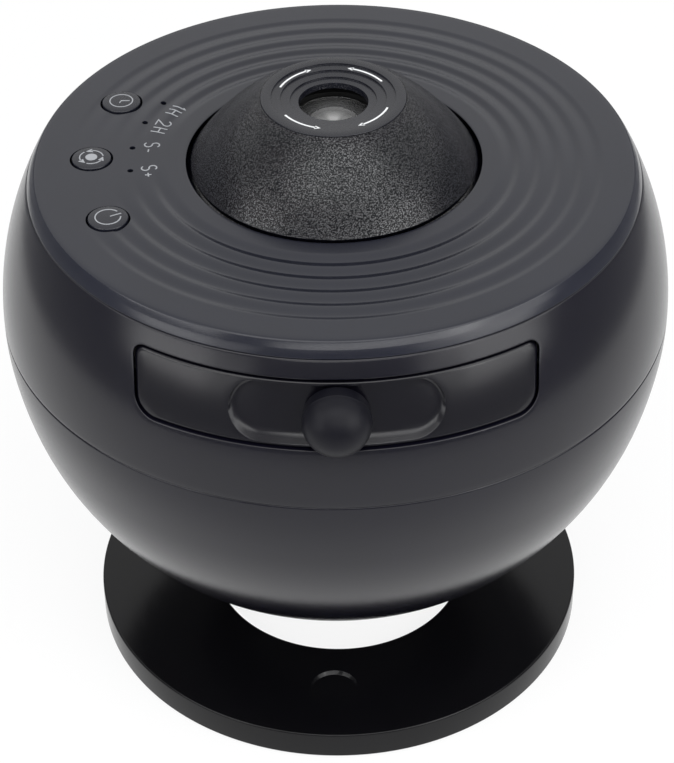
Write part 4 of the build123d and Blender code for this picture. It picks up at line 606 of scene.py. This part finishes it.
def ring_points(half_w, low, high, low_r, high_r, count):
    """Outline of a rectangle with rounded corners, 4 * count points clockwise from its top middle."""
    middle = (low + high) / 2
    top = rounded([(0, high, 0), (half_w, high, high_r), (half_w, middle, 0)], 12, closed=False)
    bottom = rounded([(half_w, middle, 0), (half_w, low, low_r), (0, low, 0)], 12, closed=False)
    right = quarter(top, count)[:-1] + quarter(bottom, count)
    left = [(-x, h) for x, h in reversed(right)]
    return right[:-1] + left[:-1]


def on_front(x, h, r, depth=0.0):
    """Point on the front half of a sphere about the ball's centre, moved back by depth."""
    return (x, depth - sqrt(r * r - x * x - h * h), BALL_Z + h)


def between(first, second, steps):
    """Outlines between two outlines, without the first."""
    rows = []
    for step in range(1, steps + 1):
        t = step / steps
        rows.append([(a[0] + (b[0] - a[0]) * t, a[1] + (b[1] - a[1]) * t) for a, b in zip(first, second)])
    return rows


# ---------------------------------------------------------------- upper shell
WINDOW_DEG = 42.0
WINDOW_COLUMNS = 90
WINDOW_ROWS = 20
REST_COLUMNS = 240
EDGE_ROUND = 0.2
ROUNDING_DEG = (22, 45, 68, 90)
SHELL_H = (SEAM_H + SEAM_ROUND, COVER_SEAM_H - SEAM_ROUND)


def on_band(r, angle, h):
    """Point on a sphere about the ball's centre; angle 0 is the front."""
    a = radians(angle)
    return (rim(r, h) * sin(a), -rim(r, h) * cos(a), BALL_Z + h)


def open_strip(rows):
    """Points and faces between rows of points that end at their sides."""
    width = len(rows[0])
    faces = []
    for start in range(0, width * (len(rows) - 1), width):
        faces += [(i, i + 1, i + width + 1, i + width) for i in range(start, start + width - 1)]
    return [point for row in rows for point in row], faces


def wider_opening(by):
    """Outline of the drawer's opening, wider by a margin."""
    (low_h, high_h), (low_r, high_r) = OPENING_H, OPENING_ROUND
    count = WINDOW_COLUMNS + WINDOW_ROWS
    return ring_points(OPENING_HALF_W + by, low_h - by, high_h + by, low_r + by, high_r + by, count)


def window_outline():
    """(angle, h) outline of the part of the shell that holds the opening, clockwise from its top middle."""
    low, high = SHELL_H
    middle = (low + high) / 2
    top = [(WINDOW_DEG * i / WINDOW_COLUMNS, high) for i in range(WINDOW_COLUMNS + 1)]
    top += [(WINDOW_DEG, middle + (high - middle) * i / WINDOW_ROWS) for i in reversed(range(WINDOW_ROWS))]
    right = top[:-1] + [(a, 2 * middle - h) for a, h in reversed(top)]
    return right[:-1] + [(-a, h) for a, h in reversed(right)][:-1]


def window_patch(r, by):
    """Loops on a sphere from the window's outline in to the opening."""
    window = window_outline()
    hole = [(degrees(asin(x / rim(r, h))), h) for x, h in wider_opening(by)]
    return [[on_band(r, a, h) for a, h in outline] for outline in [window] + between(window, hole, 14)]


def shell_edges(turns, inner_r):
    """Skins over the shell's lower and upper seam edges."""
    low, high = SHELL_H
    arcs = [(SEAM_ROUND * (1 - cos(radians(t))), SEAM_ROUND * sin(radians(t))) for t in ROUNDING_DEG]
    low_edge = [(BALL_R, low)] + [(BALL_R - back, low - down) for back, down in arcs]
    high_edge = [(r, low + high - h) for r, h in low_edge]
    for edge, inner_h in ((low_edge, low), (high_edge, high)):
        loops = [[on_band(r, a, h) for a in turns] for r, h in edge]
        loops += [[on_band(inner_r, a, h) for a in turns] for h in (edge[-1][1], inner_h)]
        yield loft(loops)


def upper_shell_skin():
    """Spherical band with rounded seam edges and a rounded opening for the drawer."""
    low, high = SHELL_H
    inner_r = BALL_R - WALL
    rest_turn = 360 - 2 * WINDOW_DEG
    rest = [WINDOW_DEG + rest_turn * i / REST_COLUMNS for i in range(REST_COLUMNS + 1)]
    rows = [low + (high - low) * i / (2 * WINDOW_ROWS) for i in range(2 * WINDOW_ROWS + 1)]
    skins = [open_strip([[on_band(r, a, h) for a in rest] for h in rows]) for r in (BALL_R, inner_r)]
    columns = [WINDOW_DEG * i / WINDOW_COLUMNS for i in range(-WINDOW_COLUMNS, WINDOW_COLUMNS)]
    skins += shell_edges(columns + rest[:-1], inner_r)

    loops = window_patch(BALL_R, EDGE_ROUND)
    for turn in ROUNDING_DEG:
        by = EDGE_ROUND * (1 - sin(radians(turn)))
        depth = EDGE_ROUND * (1 - cos(radians(turn)))
        loops.append([on_front(x, h, BALL_R, depth) for x, h in wider_opening(by)])
    loops.append([on_front(x, h, inner_r) for x, h in wider_opening(0.0)])
    loops += list(reversed(window_patch(inner_r, 0.0)))[1:]
    return together([*skins, loft(loops)])


def pivot_peg(r, y_low, y_high, segments=64):
    """Round cutter about the pivot's axis."""
    turns = round_turn(segments)
    loops = [[(r * cos(a), y, BALL_Z + r * sin(a)) for a in turns] for y in (y_low, y_high)]
    return loft(loops, cap_first=True, cap_last=True)


make("upper_shell_skin", upper_shell_skin(), "ball", SHELL, ["upper_shell"],
     cutters=[pivot_peg(*PIVOT_HOLE)])


# The bowl's rim swells out to the shell, and its rounded top edge makes the dark line at the seam.
RIM_H = (-16.0, 0.4)
RIM_FULL_H = -1.0
RIM_SWELL = 0.29
RIM_EDGE = (BALL_R - 0.01, SEAM_H - 0.02)
rim_steps = [RIM_H[0] + (RIM_H[1] - RIM_H[0]) * i / 24 for i in range(25)]
swell = [0.004 + RIM_SWELL * smoothstep(RIM_H[0], RIM_FULL_H, h) for h in rim_steps]
rim_section = [(rim(BOWL_R, h) + out, h) for h, out in zip(rim_steps, swell)]
rim_corner = [(RIM_EDGE[0], 0.3, 0), (*RIM_EDGE, RIM_ROUND), (74.3, RIM_EDGE[1], 0)]
rim_section += rounded(rim_corner, closed=False)[1:]
rim_section += [(rim(BOWL_R, h) - 0.5, h) for h in reversed(rim_steps)]
rim_skin = loft(turned(rim_section, 360), closed=True)
make("bowl_rim", rim_skin, "ball", BOWL, crease=40, cutters=[pivot_peg(*PIVOT_HOLE)])


# ---------------------------------------------------------------- base ring
def base_ring_skin():
    """Flat ring, hollow from below, with rounded top edges."""
    foot, roof, top = BASE_Z
    inner, outer = BASE_R
    section = rounded([
        (inner, foot, 0), (inner, top, BASE_EDGE_R), (outer, top, BASE_EDGE_R), (outer, foot, 0),
        (outer - BASE_WALL, foot, 0), (outer - BASE_WALL, roof, 0),
        (inner + BASE_WALL, roof, 0), (inner + BASE_WALL, foot, 0),
    ], 6)
    return loft(moved(turned(section, 360), 0, 0, -BALL_Z), closed=True)


def base_post(angle):
    """Post under the ring's roof that takes a screw of the base plate."""
    hole, wall = BASE_POST_R
    low, high = BASE_POST_Z
    section = [(hole, low), (wall, low), (wall, high), (hole, high)]
    return loft(moved(turned(section, 48), *on_circle(BASE_POST_RING_R, angle), -BALL_Z), closed=True)


def dimple():
    """Cutter for the finger hollow, deep at the far side and fading out towards the ring's edge."""
    reach = DIMPLE[2][0]
    loops = []
    for loop in moved(turned(rounded(DIMPLE, 8, closed=False), 128), 0, 0, -BALL_Z):
        loops.append([(x, y, z * max(0.03, 0.4 + 0.6 * y / reach) if z < 0 else z) for x, y, z in loop])
    return loft(moved(loops, *DIMPLE_AT, BASE_Z[2]), cap_first=True, cap_last=True)


roof_h = [z - BALL_Z for z in (BASE_Z[1] - 0.9, BASE_Z[2] + 0.7)]
base_holes = [dimple()] + [peg(ARM_SCREW_HOLE_R, *roof_h, place, 32) for place in ARM_SCREW_AT]
make("base_ring_skin", base_ring_skin(), "base", BASE, ["base_ring"], cutters=base_holes)
make("base_posts", together([base_post(angle) for angle in BASE_POST_ANGLES]), "base", BASE)


# ---------------------------------------------------------------- drawer front and knob
def face_outline(by):
    """Outline of the drawer front, narrower by a margin."""
    half_w, low, high = FRONT_HALF_W - by, FRONT_H[0] + by, FRONT_H[1] - by
    return ring_points(half_w, low, high, FRONT_ROUND[0] - by, FRONT_ROUND[1] - by, FRONT_COUNT)


def scoop_outline(by):
    """Outline of the racetrack recess, narrower by a margin."""
    half_w, half_h = SCOOP_HALF_W - by, SCOOP_HALF_H - by
    low, high, end_r = SCOOP_H - half_h, SCOOP_H + half_h, half_h - 0.02
    return ring_points(half_w, low, high, end_r, end_r, FRONT_COUNT)


def scoop_profile():
    """(margin, depth) steps into the recess: a rounded lip, a straight slope and a rounded foot."""
    slope = radians(SCOOP_SLOPE_DEG)
    turns = [slope * share for share in (0.25, 0.5, 0.75, 1.0)]
    steps = [(SCOOP_LIP_R * (sin(a) - 1), SCOOP_LIP_R * (1 - cos(a))) for a in turns]
    by, down = steps[-1]
    by += (SCOOP_DEPTH - down - SCOOP_FLOOR_R * (1 - cos(slope))) / tan(slope)
    for a in (*reversed(turns), 0.0):
        steps.append((by + SCOOP_FLOOR_R * (sin(slope) - sin(a)), SCOOP_DEPTH - SCOOP_FLOOR_R * (1 - cos(a))))
    return steps


def inward(outline, centre_h):
    """Outlines shrinking to the level line through their middle, where top and bottom points meet."""
    total = len(outline)
    half_line = max(x for x, h in outline) - (max(h for x, h in outline) - centre_h)
    paired = [(outline[i][0] + outline[(total // 2 - i) % total][0]) / 2 for i in range(total)]
    line = [(max(-half_line, min(half_line, x)), centre_h) for x in paired]
    return [outline] + between(outline, line, 6)


def drawer_front_skin():
    """Curved front with rounded edges and a racetrack recess, in one closed skin."""
    back = reversed(inward(face_outline(0.0), SCOOP_H))
    loops = [[on_front(x, h, FRONT_R - FRONT_T) for x, h in outline] for outline in back]
    for by, depth in FRONT_EDGE:
        loops.append([on_front(x, h, FRONT_R, depth) for x, h in face_outline(by)])
    for outline in between(face_outline(FRONT_EDGE[-1][0]), scoop_outline(-SCOOP_LIP_R), 10):
        loops.append([on_front(x, h, FRONT_R) for x, h in outline])
    for by, depth in scoop_profile():
        edge = [(x, h + SCOOP_LEAN * depth) for x, h in scoop_outline(by)]
        loops.append([on_front(x, h, FRONT_R, depth) for x, h in edge])
    for outline in inward(edge, SCOOP_H + SCOOP_LEAN * SCOOP_DEPTH)[1:]:
        loops.append([on_front(x, h, FRONT_R, SCOOP_DEPTH) for x, h in outline])
    return loft(loops)


def front_boss(x, h):
    """Boss on the back of the drawer front that takes a screw from the tray."""
    hole, wall = [[(r * cos(a), r * sin(a)) for a in round_turn(48)] for r in BOSS_R]
    loops = []
    for outline, at_front in ((hole, False), (wall, False), (wall, True), (hole, True)):
        ring = [on_front(x + px, h + ph, FRONT_R - FRONT_T + 0.4) for px, ph in outline]
        loops.append(ring if at_front else [(px, BOSS_BACK_Y, pz) for px, y, pz in ring])
    return loft(loops, closed=True)


make("drawer_front_skin", drawer_front_skin(), "drawer", DRAWER, ["drawer_front"])
make("front_bosses", together([front_boss(x, h) for x, h in BOSS_AT]), "drawer", DRAWER)


def knob_skin():
    """Round knob: a drum with a rounded back edge, a fine parting ridge and a dome of the same size."""
    back, edge, tip = KNOB_Y
    dome_r = KNOB_R + 0.1
    hollow_r, hollow = KNOB_HOLLOW
    section = rounded([
        (hollow_r, back + hollow, 0), (hollow_r, back, 0), (KNOB_R - 0.2, back, 0.4),
        (KNOB_R - 0.1, edge + 0.3, 0.2), (dome_r + KNOB_RIDGE, edge + 0.1, 0.05), (dome_r, edge, 0),
    ], closed=False)
    quarter_turn = [pi / 2 * step / 28 for step in range(1, 28)]
    section += [(dome_r * cos(a), edge - (edge - tip) * sin(a)) for a in quarter_turn]
    turns = round_turn(128)
    height = BALL_Z + KNOB_H
    loops = [[(r * cos(a), y, height + r * sin(a)) for a in turns] for r, y in section]
    return loft(loops, cap_first=True, cap_last=True)


make("pull_knob_skin", knob_skin(), "drawer", KNOB, ["pull_knob"], crease=40)


# ---------------------------------------------------------------- focus cone and cap
def arc_through(a, b, c, steps):
    """Points on the arc from a through b to c."""
    ax, ay, bx, by, cx, cy = *a, *b, *c
    d = 2 * (ax * (by - cy) + bx * (cy - ay) + cx * (ay - by))
    a2, b2, c2 = ax * ax + ay * ay, bx * bx + by * by, cx * cx + cy * cy
    ux = (a2 * (by - cy) + b2 * (cy - ay) + c2 * (ay - by)) / d
    uy = (a2 * (cx - bx) + b2 * (ax - cx) + c2 * (bx - ax)) / d
    radius = hypot(ax - ux, ay - uy)
    start, end = atan2(ay - uy, ax - ux), atan2(cy - uy, cx - ux)
    turns = [start + (end - start) * i / steps for i in range(steps + 1)]
    return [(ux + radius * cos(t), uy + radius * sin(t)) for t in turns]


cone_section = arc_through(CONE_RIM, CONE_BULGE, (CONE_BASE_R, COVER_TOP_H), 40) + list(CONE_FLANGE)
cone_section += arc_through(*CONE_INSIDE, 16) + [(SLEEVE_WALL_R, CONE_INSIDE[-1][1])]
cone_section += [(SLEEVE_WALL_R, CAP_SEAT_H - CAP_GAP), (CAP_R + CAP_GAP, CAP_SEAT_H - CAP_GAP)]
cone_section += [(CAP_R + CAP_GAP, CONE_RIM[1] - 0.1), (CAP_R + CAP_GAP + 0.03, CONE_RIM[1])]
cone_skin = loft(turned(cone_section, 240), closed=True)
make("focus_cone_skin", cone_skin, "focus_ring", CONE, ["focus_cone"])

stairs = [(CAP_PLUG_R, CAP_UNDER_H, 0), (CAP_PLUG_R, CAP_SEAT_H, 0), (CAP_R, CAP_SEAT_H, 0)]
stairs.append((CAP_R, CAP_TOP_H, 0.2))
for step, radius in enumerate(CAP_STEPS_R):
    stairs.append((radius, CAP_TOP_H - step * CAP_STEP, 0.10))
    if step < len(CAP_STEPS_R) - 1:
        stairs.append((radius, CAP_TOP_H - (step + 1) * CAP_STEP, 0.05))
stairs.append((CAP_STEPS_R[-1], CAP_UNDER_H, 0))
cap_skin = loft(turned(rounded(stairs), 240), closed=True)
make("focus_cap_skin", cap_skin, "focus_ring", CAP, ["focus_cap"])


# ---------------------------------------------------------------- front lens
dome = arc_through((-LENS_NECK[0], LENS_NECK[1]), (0, LENS_TIP_H), LENS_NECK, 48)[25:]
lens_section = [(LENS_R, LENS_SEAT_H), (LENS_R, LENS_EDGE_H), (LENS_NECK[0], LENS_EDGE_H), *reversed(dome)]
lens_skin = loft(turned(lens_section, 96), cap_first=True, cap_last=True)
make("front_lens_skin", lens_skin, "lens", LENS, ["front_lens"])


# ---------------------------------------------------------------- prints
PRINT_T = 0.04


def ribbon(path, width, z, closed=False):
    """Flat raised stroke of even width along a list of (x, y) points."""
    count = len(path)
    left, right = [], []
    for i, (x, y) in enumerate(path):
        before = path[i - 1] if i or closed else path[i]
        after = path[(i + 1) % count] if i < count - 1 or closed else path[i]
        way = Vector((after[0] - before[0], after[1] - before[1])).normalized()
        side = Vector((-way.y, way.x)) * (width / 2)
        if 0 < i < count - 1 or closed:
            first = Vector((x - before[0], y - before[1])).normalized()
            side /= max(0.5, abs(first.dot(way)))
        left.append((x + side.x, y + side.y))
        right.append((x - side.x, y - side.y))
    low, high = z - PRINT_T, z + PRINT_T
    points = []
    for (lx, ly), (rx, ry) in zip(left, right):
        points += [(lx, ly, low), (lx, ly, high), (rx, ry, high), (rx, ry, low)]
    faces = []
    for i in range(count if closed else count - 1):
        here, there = 4 * i, 4 * ((i + 1) % count)
        for j in range(4):
            k = (j + 1) % 4
            faces.append((here + j, here + k, there + k, there + j))
    if not closed:
        faces += [(0, 1, 2, 3), (4 * count - 4, 4 * count - 3, 4 * count - 2, 4 * count - 1)]
    return points, faces


def arc(x, y, r, start, end, steps=16):
    """Points on an arc, angles in degrees."""
    turns = [radians(start + (end - start) * i / steps) for i in range(steps + 1)]
    return [(x + r * cos(a), y + r * sin(a)) for a in turns]


def placed(path, x, y, up_angle):
    """A drawing's points on the plate, with its top turned towards up_angle."""
    up = on_circle(1.0, up_angle)
    right = (up[1], -up[0])
    return [(x + u * right[0] + v * up[0], y + u * right[1] + v * up[1]) for u, v in path]


def flat_shape(outline, z):
    """Flat raised shape with a straight-sided outline."""
    loops = [[(x, y, z - PRINT_T) for x, y in outline], [(x, y, z + PRINT_T) for x, y in outline]]
    return loft(loops, cap_first=True, cap_last=True)


LETTER_H = 3.3
STROKE = 0.30
GLYPHS = {
    "1": [[(-0.35, 2.6), (0.1, 3.3), (0.1, 0.0)]],
    "2": [arc(0.0, 2.35, 0.95, 165, -35, 14) + [(-1.0, 0.0), (1.05, 0.0)]],
    "H": [[(-0.85, 0.0), (-0.85, 3.3)], [(0.85, 0.0), (0.85, 3.3)], [(-0.85, 1.7), (0.85, 1.7)]],
    "S": [arc(0.0, 2.48, 0.82, 35, 270, 14) + arc(0.0, 0.84, 0.84, 88, -145, 14)],
    "-": [[(-0.5, 1.2), (0.5, 1.2)]],
    "+": [[(-0.7, 1.3), (0.7, 1.3)], [(0.0, 0.6), (0.0, 2.0)]],
}
LABELS = (
    ("1H", 150.9, (-1.15, 1.25)), ("2H", 161.7, (-1.5, 1.5)),
    ("S-", 173.9, (-1.0, 1.3)), ("S+", 186.9, (-1.1, 1.5)),
)
LABEL_RING_R = 40.3
plate_z = BALL_Z + COVER_TOP_H


def finely(path, step=0.25):
    """The path with added points, so that it can follow the ripples."""
    points = [path[0]]
    for a, b in zip(path, path[1:]):
        run, rise = b[0] - a[0], b[1] - a[1]
        count = 1 + int(hypot(run, rise) / step)
        points += [(a[0] + run * i / count, a[1] + rise * i / count) for i in range(1, count + 1)]
    return points


strokes = []
for word, angle, offsets in LABELS:
    x, y = on_circle(LABEL_RING_R, angle)
    for glyph, offset in zip(word, offsets):
        for path in GLYPHS[glyph]:
            shifted = [(u + offset, v - LETTER_H / 2) for u, v in finely(path)]
            strokes.append(ribbon(placed(shifted, x, y, angle + 180), STROKE, plate_z))
points, faces = together(strokes)
make("label_print", ([(x, y, z - dip(x, y)) for x, y, z in points], faces), "ball", PRINT)


def button_icon(name, drawings, up_angle):
    """Printed icon on a button: each drawing is a path, its stroke width and whether it is closed."""
    x, y = BUTTON_AT[name]
    z = plate_z + BUTTON_PROUD
    skins = []
    for path, width, closed in drawings:
        path = placed(path, x, y, up_angle)
        skins.append(ribbon(path, width, z, closed) if width else flat_shape(path, z))
    make(f"{name}_icon", together(skins), f"{name}_button", PRINT)


def turn_drawings():
    """Dot with three arrows chasing each other round it."""
    drawings = [(arc(0, 0, 1.3, 0, 360, 40)[:-1], 0, True)]
    for start in (100, 220, 340):
        drawings.append((arc(0, 0, ICON_R, start, start + 84, 16), BOLD_STROKE, False))
        tail, tip = arc(0, 0, ICON_R, start + 78, start + 112, 1)
        along = Vector(tip) - Vector(tail)
        across = Vector((-along.y, along.x)) * 0.45
        drawings.append(([tuple(Vector(tail) + across), tuple(Vector(tail) - across), tip], 0, True))
    return drawings


ICON_R = 2.55
ICON_STROKE = 0.26
BOLD_STROKE = 0.27
clock = [(arc(0, 0, ICON_R, 0, 360, 64)[:-1], ICON_STROKE, True)]
clock.append(([(0.9, -0.35), (0.0, 0.0), (0.0, 1.9)], ICON_STROKE, False))
switch = [(arc(0, 0, 2.7, 112, 428, 56), BOLD_STROKE, False), ([(0.0, 0.5), (0.0, 3.0)], BOLD_STROKE, False)]
button_icon("timer", clock, 0.0)
button_icon("power", switch, BUTTON_ANGLES["power"] + 180)
button_icon("rotate", turn_drawings(), 0.0)

ARROW_R = 12.25
ARROW_STROKE = 0.42
ARROW_HEAD = 0.62
ARROWS = ((159, 113), (31, 75), (-147, -103), (-20, -65))
arrow_z = BALL_Z + CAP_TOP_H - CAP_STEP
skins = []
for start, end in ARROWS:
    way = 1 if end > start else -1
    skins.append(ribbon(arc(0, 0, ARROW_R, start, end - 4 * way, 24), ARROW_STROKE, arrow_z))
    neck = Vector(on_circle(ARROW_R, end - 6 * way))
    tip = on_circle(ARROW_R, end)
    out = Vector(on_circle(1.0, end - 6 * way)) * ARROW_HEAD
    skins.append(flat_shape([tuple(neck + out), tuple(neck - out), tip], arrow_z))
make("turn_arrows", together(skins), "focus_ring", ARROW)


# ---------------------------------------------------------------- stage, light and camera
PAPER_SHARE = 0.85
FLOOR_HALF = 3.0
CURTAIN_SIDES = 64
SKY_LIGHT = 0.85
CURTAIN_R = 0.36
CURTAIN_TOP = {"back": 0.205, "front": 0.365}
TARGET = Vector((0.0, 0.0, 0.09))


def seen_share(tree, share):
    """Given share for rays from the camera, from gloss and through glass, and 0 for other rays."""
    path = tree.nodes.new("ShaderNodeLightPath")
    seen = path.outputs["Is Camera Ray"]
    for ray in ("Is Glossy Ray", "Is Transmission Ray"):
        either = tree.nodes.new("ShaderNodeMath")
        either.operation = "MAXIMUM"
        tree.links.new(seen, either.inputs[0])
        tree.links.new(path.outputs[ray], either.inputs[1])
        seen = either.outputs[0]
    part_of = tree.nodes.new("ShaderNodeMath")
    part_of.operation = "MULTIPLY"
    part_of.inputs[1].default_value = share
    tree.links.new(seen, part_of.inputs[0])
    return part_of.outputs[0]


def mixed(tree, share, lit, shown):
    """Mix of two shaders."""
    mix = tree.nodes.new("ShaderNodeMixShader")
    tree.links.new(share, mix.inputs[0])
    tree.links.new(lit, mix.inputs[1])
    tree.links.new(shown, mix.inputs[2])
    return mix.outputs[0]


def stage_piece(name, points, faces, colour):
    """Floor or curtain of the studio, with its material's tree and shader."""
    material = bpy.data.materials.new(name)
    material.use_nodes = True
    shader = material.node_tree.nodes["Principled BSDF"]
    shader.inputs["Base Color"].default_value = (*colour, 1.0)
    shader.inputs["Roughness"].default_value = 0.8
    mesh = bpy.data.meshes.new(name)
    mesh.from_pydata(points, [], faces)
    mesh.materials.append(material)
    piece = bpy.data.objects.new(name, mesh)
    bpy.context.scene.collection.objects.link(piece)
    return piece, material.node_tree, shader


world = bpy.data.worlds.new("studio")
bpy.context.scene.world = world
world.use_nodes = True
tree = world.node_tree
sky = tree.nodes["Background"]
sky.inputs["Color"].default_value = (0.98, 0.99, 1.0, 1.0)
sky.inputs["Strength"].default_value = SKY_LIGHT
paper = tree.nodes.new("ShaderNodeBackground")
paper.inputs["Color"].default_value = (1.0, 1.0, 1.0, 1.0)
backdrop = mixed(tree, seen_share(tree, 1.0), sky.outputs[0], paper.outputs[0])
tree.links.new(backdrop, tree.nodes["World Output"].inputs["Surface"])

corners = [(x * FLOOR_HALF, y * FLOOR_HALF, 0.0) for x, y in ((-1, -1), (1, -1), (1, 1), (-1, 1))]
_, tree, shader = stage_piece("floor", corners, [(0, 1, 2, 3)], (0.93, 0.93, 0.93))
paper = tree.nodes.new("ShaderNodeEmission")
surface = mixed(tree, seen_share(tree, PAPER_SHARE), shader.outputs[0], paper.outputs[0])
tree.links.new(surface, tree.nodes["Material Output"].inputs["Surface"])

# A low dark curtain round the stage, which only gloss and glass show, as the dark bands on the ball.
hem = [(CURTAIN_R * cos(a), CURTAIN_R * sin(a), 0.001) for a in round_turn(CURTAIN_SIDES)]
rise = (CURTAIN_TOP["front"] - CURTAIN_TOP["back"]) / 2
head = [(x, y, CURTAIN_TOP["back"] + rise * (1 - y / CURTAIN_R)) for x, y, z in hem]
curtain = stage_piece("curtain", *loft([hem, head]), (0.28, 0.28, 0.29))[0]
curtain.visible_camera = False
curtain.visible_diffuse = False
curtain.visible_shadow = False


def soft_light(name, azimuth, elevation, distance, spread, brightness):
    """Soft box facing the object; azimuth 0 is the front, 90 the right; spread is in degrees."""
    lamp = bpy.data.lights.new(name, "AREA")
    lamp.shape = "RECTANGLE"
    lamp.size, lamp.size_y = [2 * distance * tan(radians(angle / 2)) for angle in spread]
    lamp.energy = brightness * pi * lamp.size * lamp.size_y
    light = bpy.data.objects.new(name, lamp)
    bpy.context.scene.collection.objects.link(light)
    light.visible_camera = False
    a, e = radians(azimuth), radians(elevation)
    way = Vector((sin(a) * cos(e), -cos(a) * cos(e), sin(e)))
    light.location = TARGET + way * distance
    light.rotation_euler = way.to_track_quat("Z", "Y").to_euler()


soft_light("key", 5, 64, 1.3, (72, 32), 1.6)
soft_light("front", 14, 28.5, 0.345, (62, 10), 3.1)
for side, name in ((-1, "left"), (1, "right")):
    soft_light(name, side * 50, 9.5, 0.335, (24, 15), 1.4)
    soft_light(f"{name}_wide", side * 47, 9.5, 0.34, (58, 15), 1.2)
    soft_light(f"{name}_high", side * 57, 31, 0.34, (34, 13), 2.7)
soft_light("right_fill", 51, 20, 0.345, (40, 8), 2.2)

CAMERA_AIM = Vector((0.0, 0.0, 0.070))
CAMERA_TILT_DEG = 38.62
CAMERA_DISTANCE = 0.5645
CAMERA_ROLL_DEG = -0.65
camera = bpy.data.cameras.new("camera")
camera_object = bpy.data.objects.new("camera", camera)
bpy.context.scene.collection.objects.link(camera_object)
back = Vector((0.0, -cos(radians(CAMERA_TILT_DEG)), sin(radians(CAMERA_TILT_DEG))))
camera_object.location = CAMERA_AIM + back * CAMERA_DISTANCE
turn = (-back).to_track_quat("-Z", "Y").to_matrix() @ Matrix.Rotation(radians(CAMERA_ROLL_DEG), 3, "Z")
camera_object.rotation_euler = turn.to_euler()
camera.lens = 114.28
camera.sensor_width = 36.0
camera.shift_x = 0.0008
camera.shift_y = -0.0224
camera.clip_start = 0.01
bpy.context.scene.camera = camera_object
bpy.context.scene.view_settings.view_transform = "Standard"
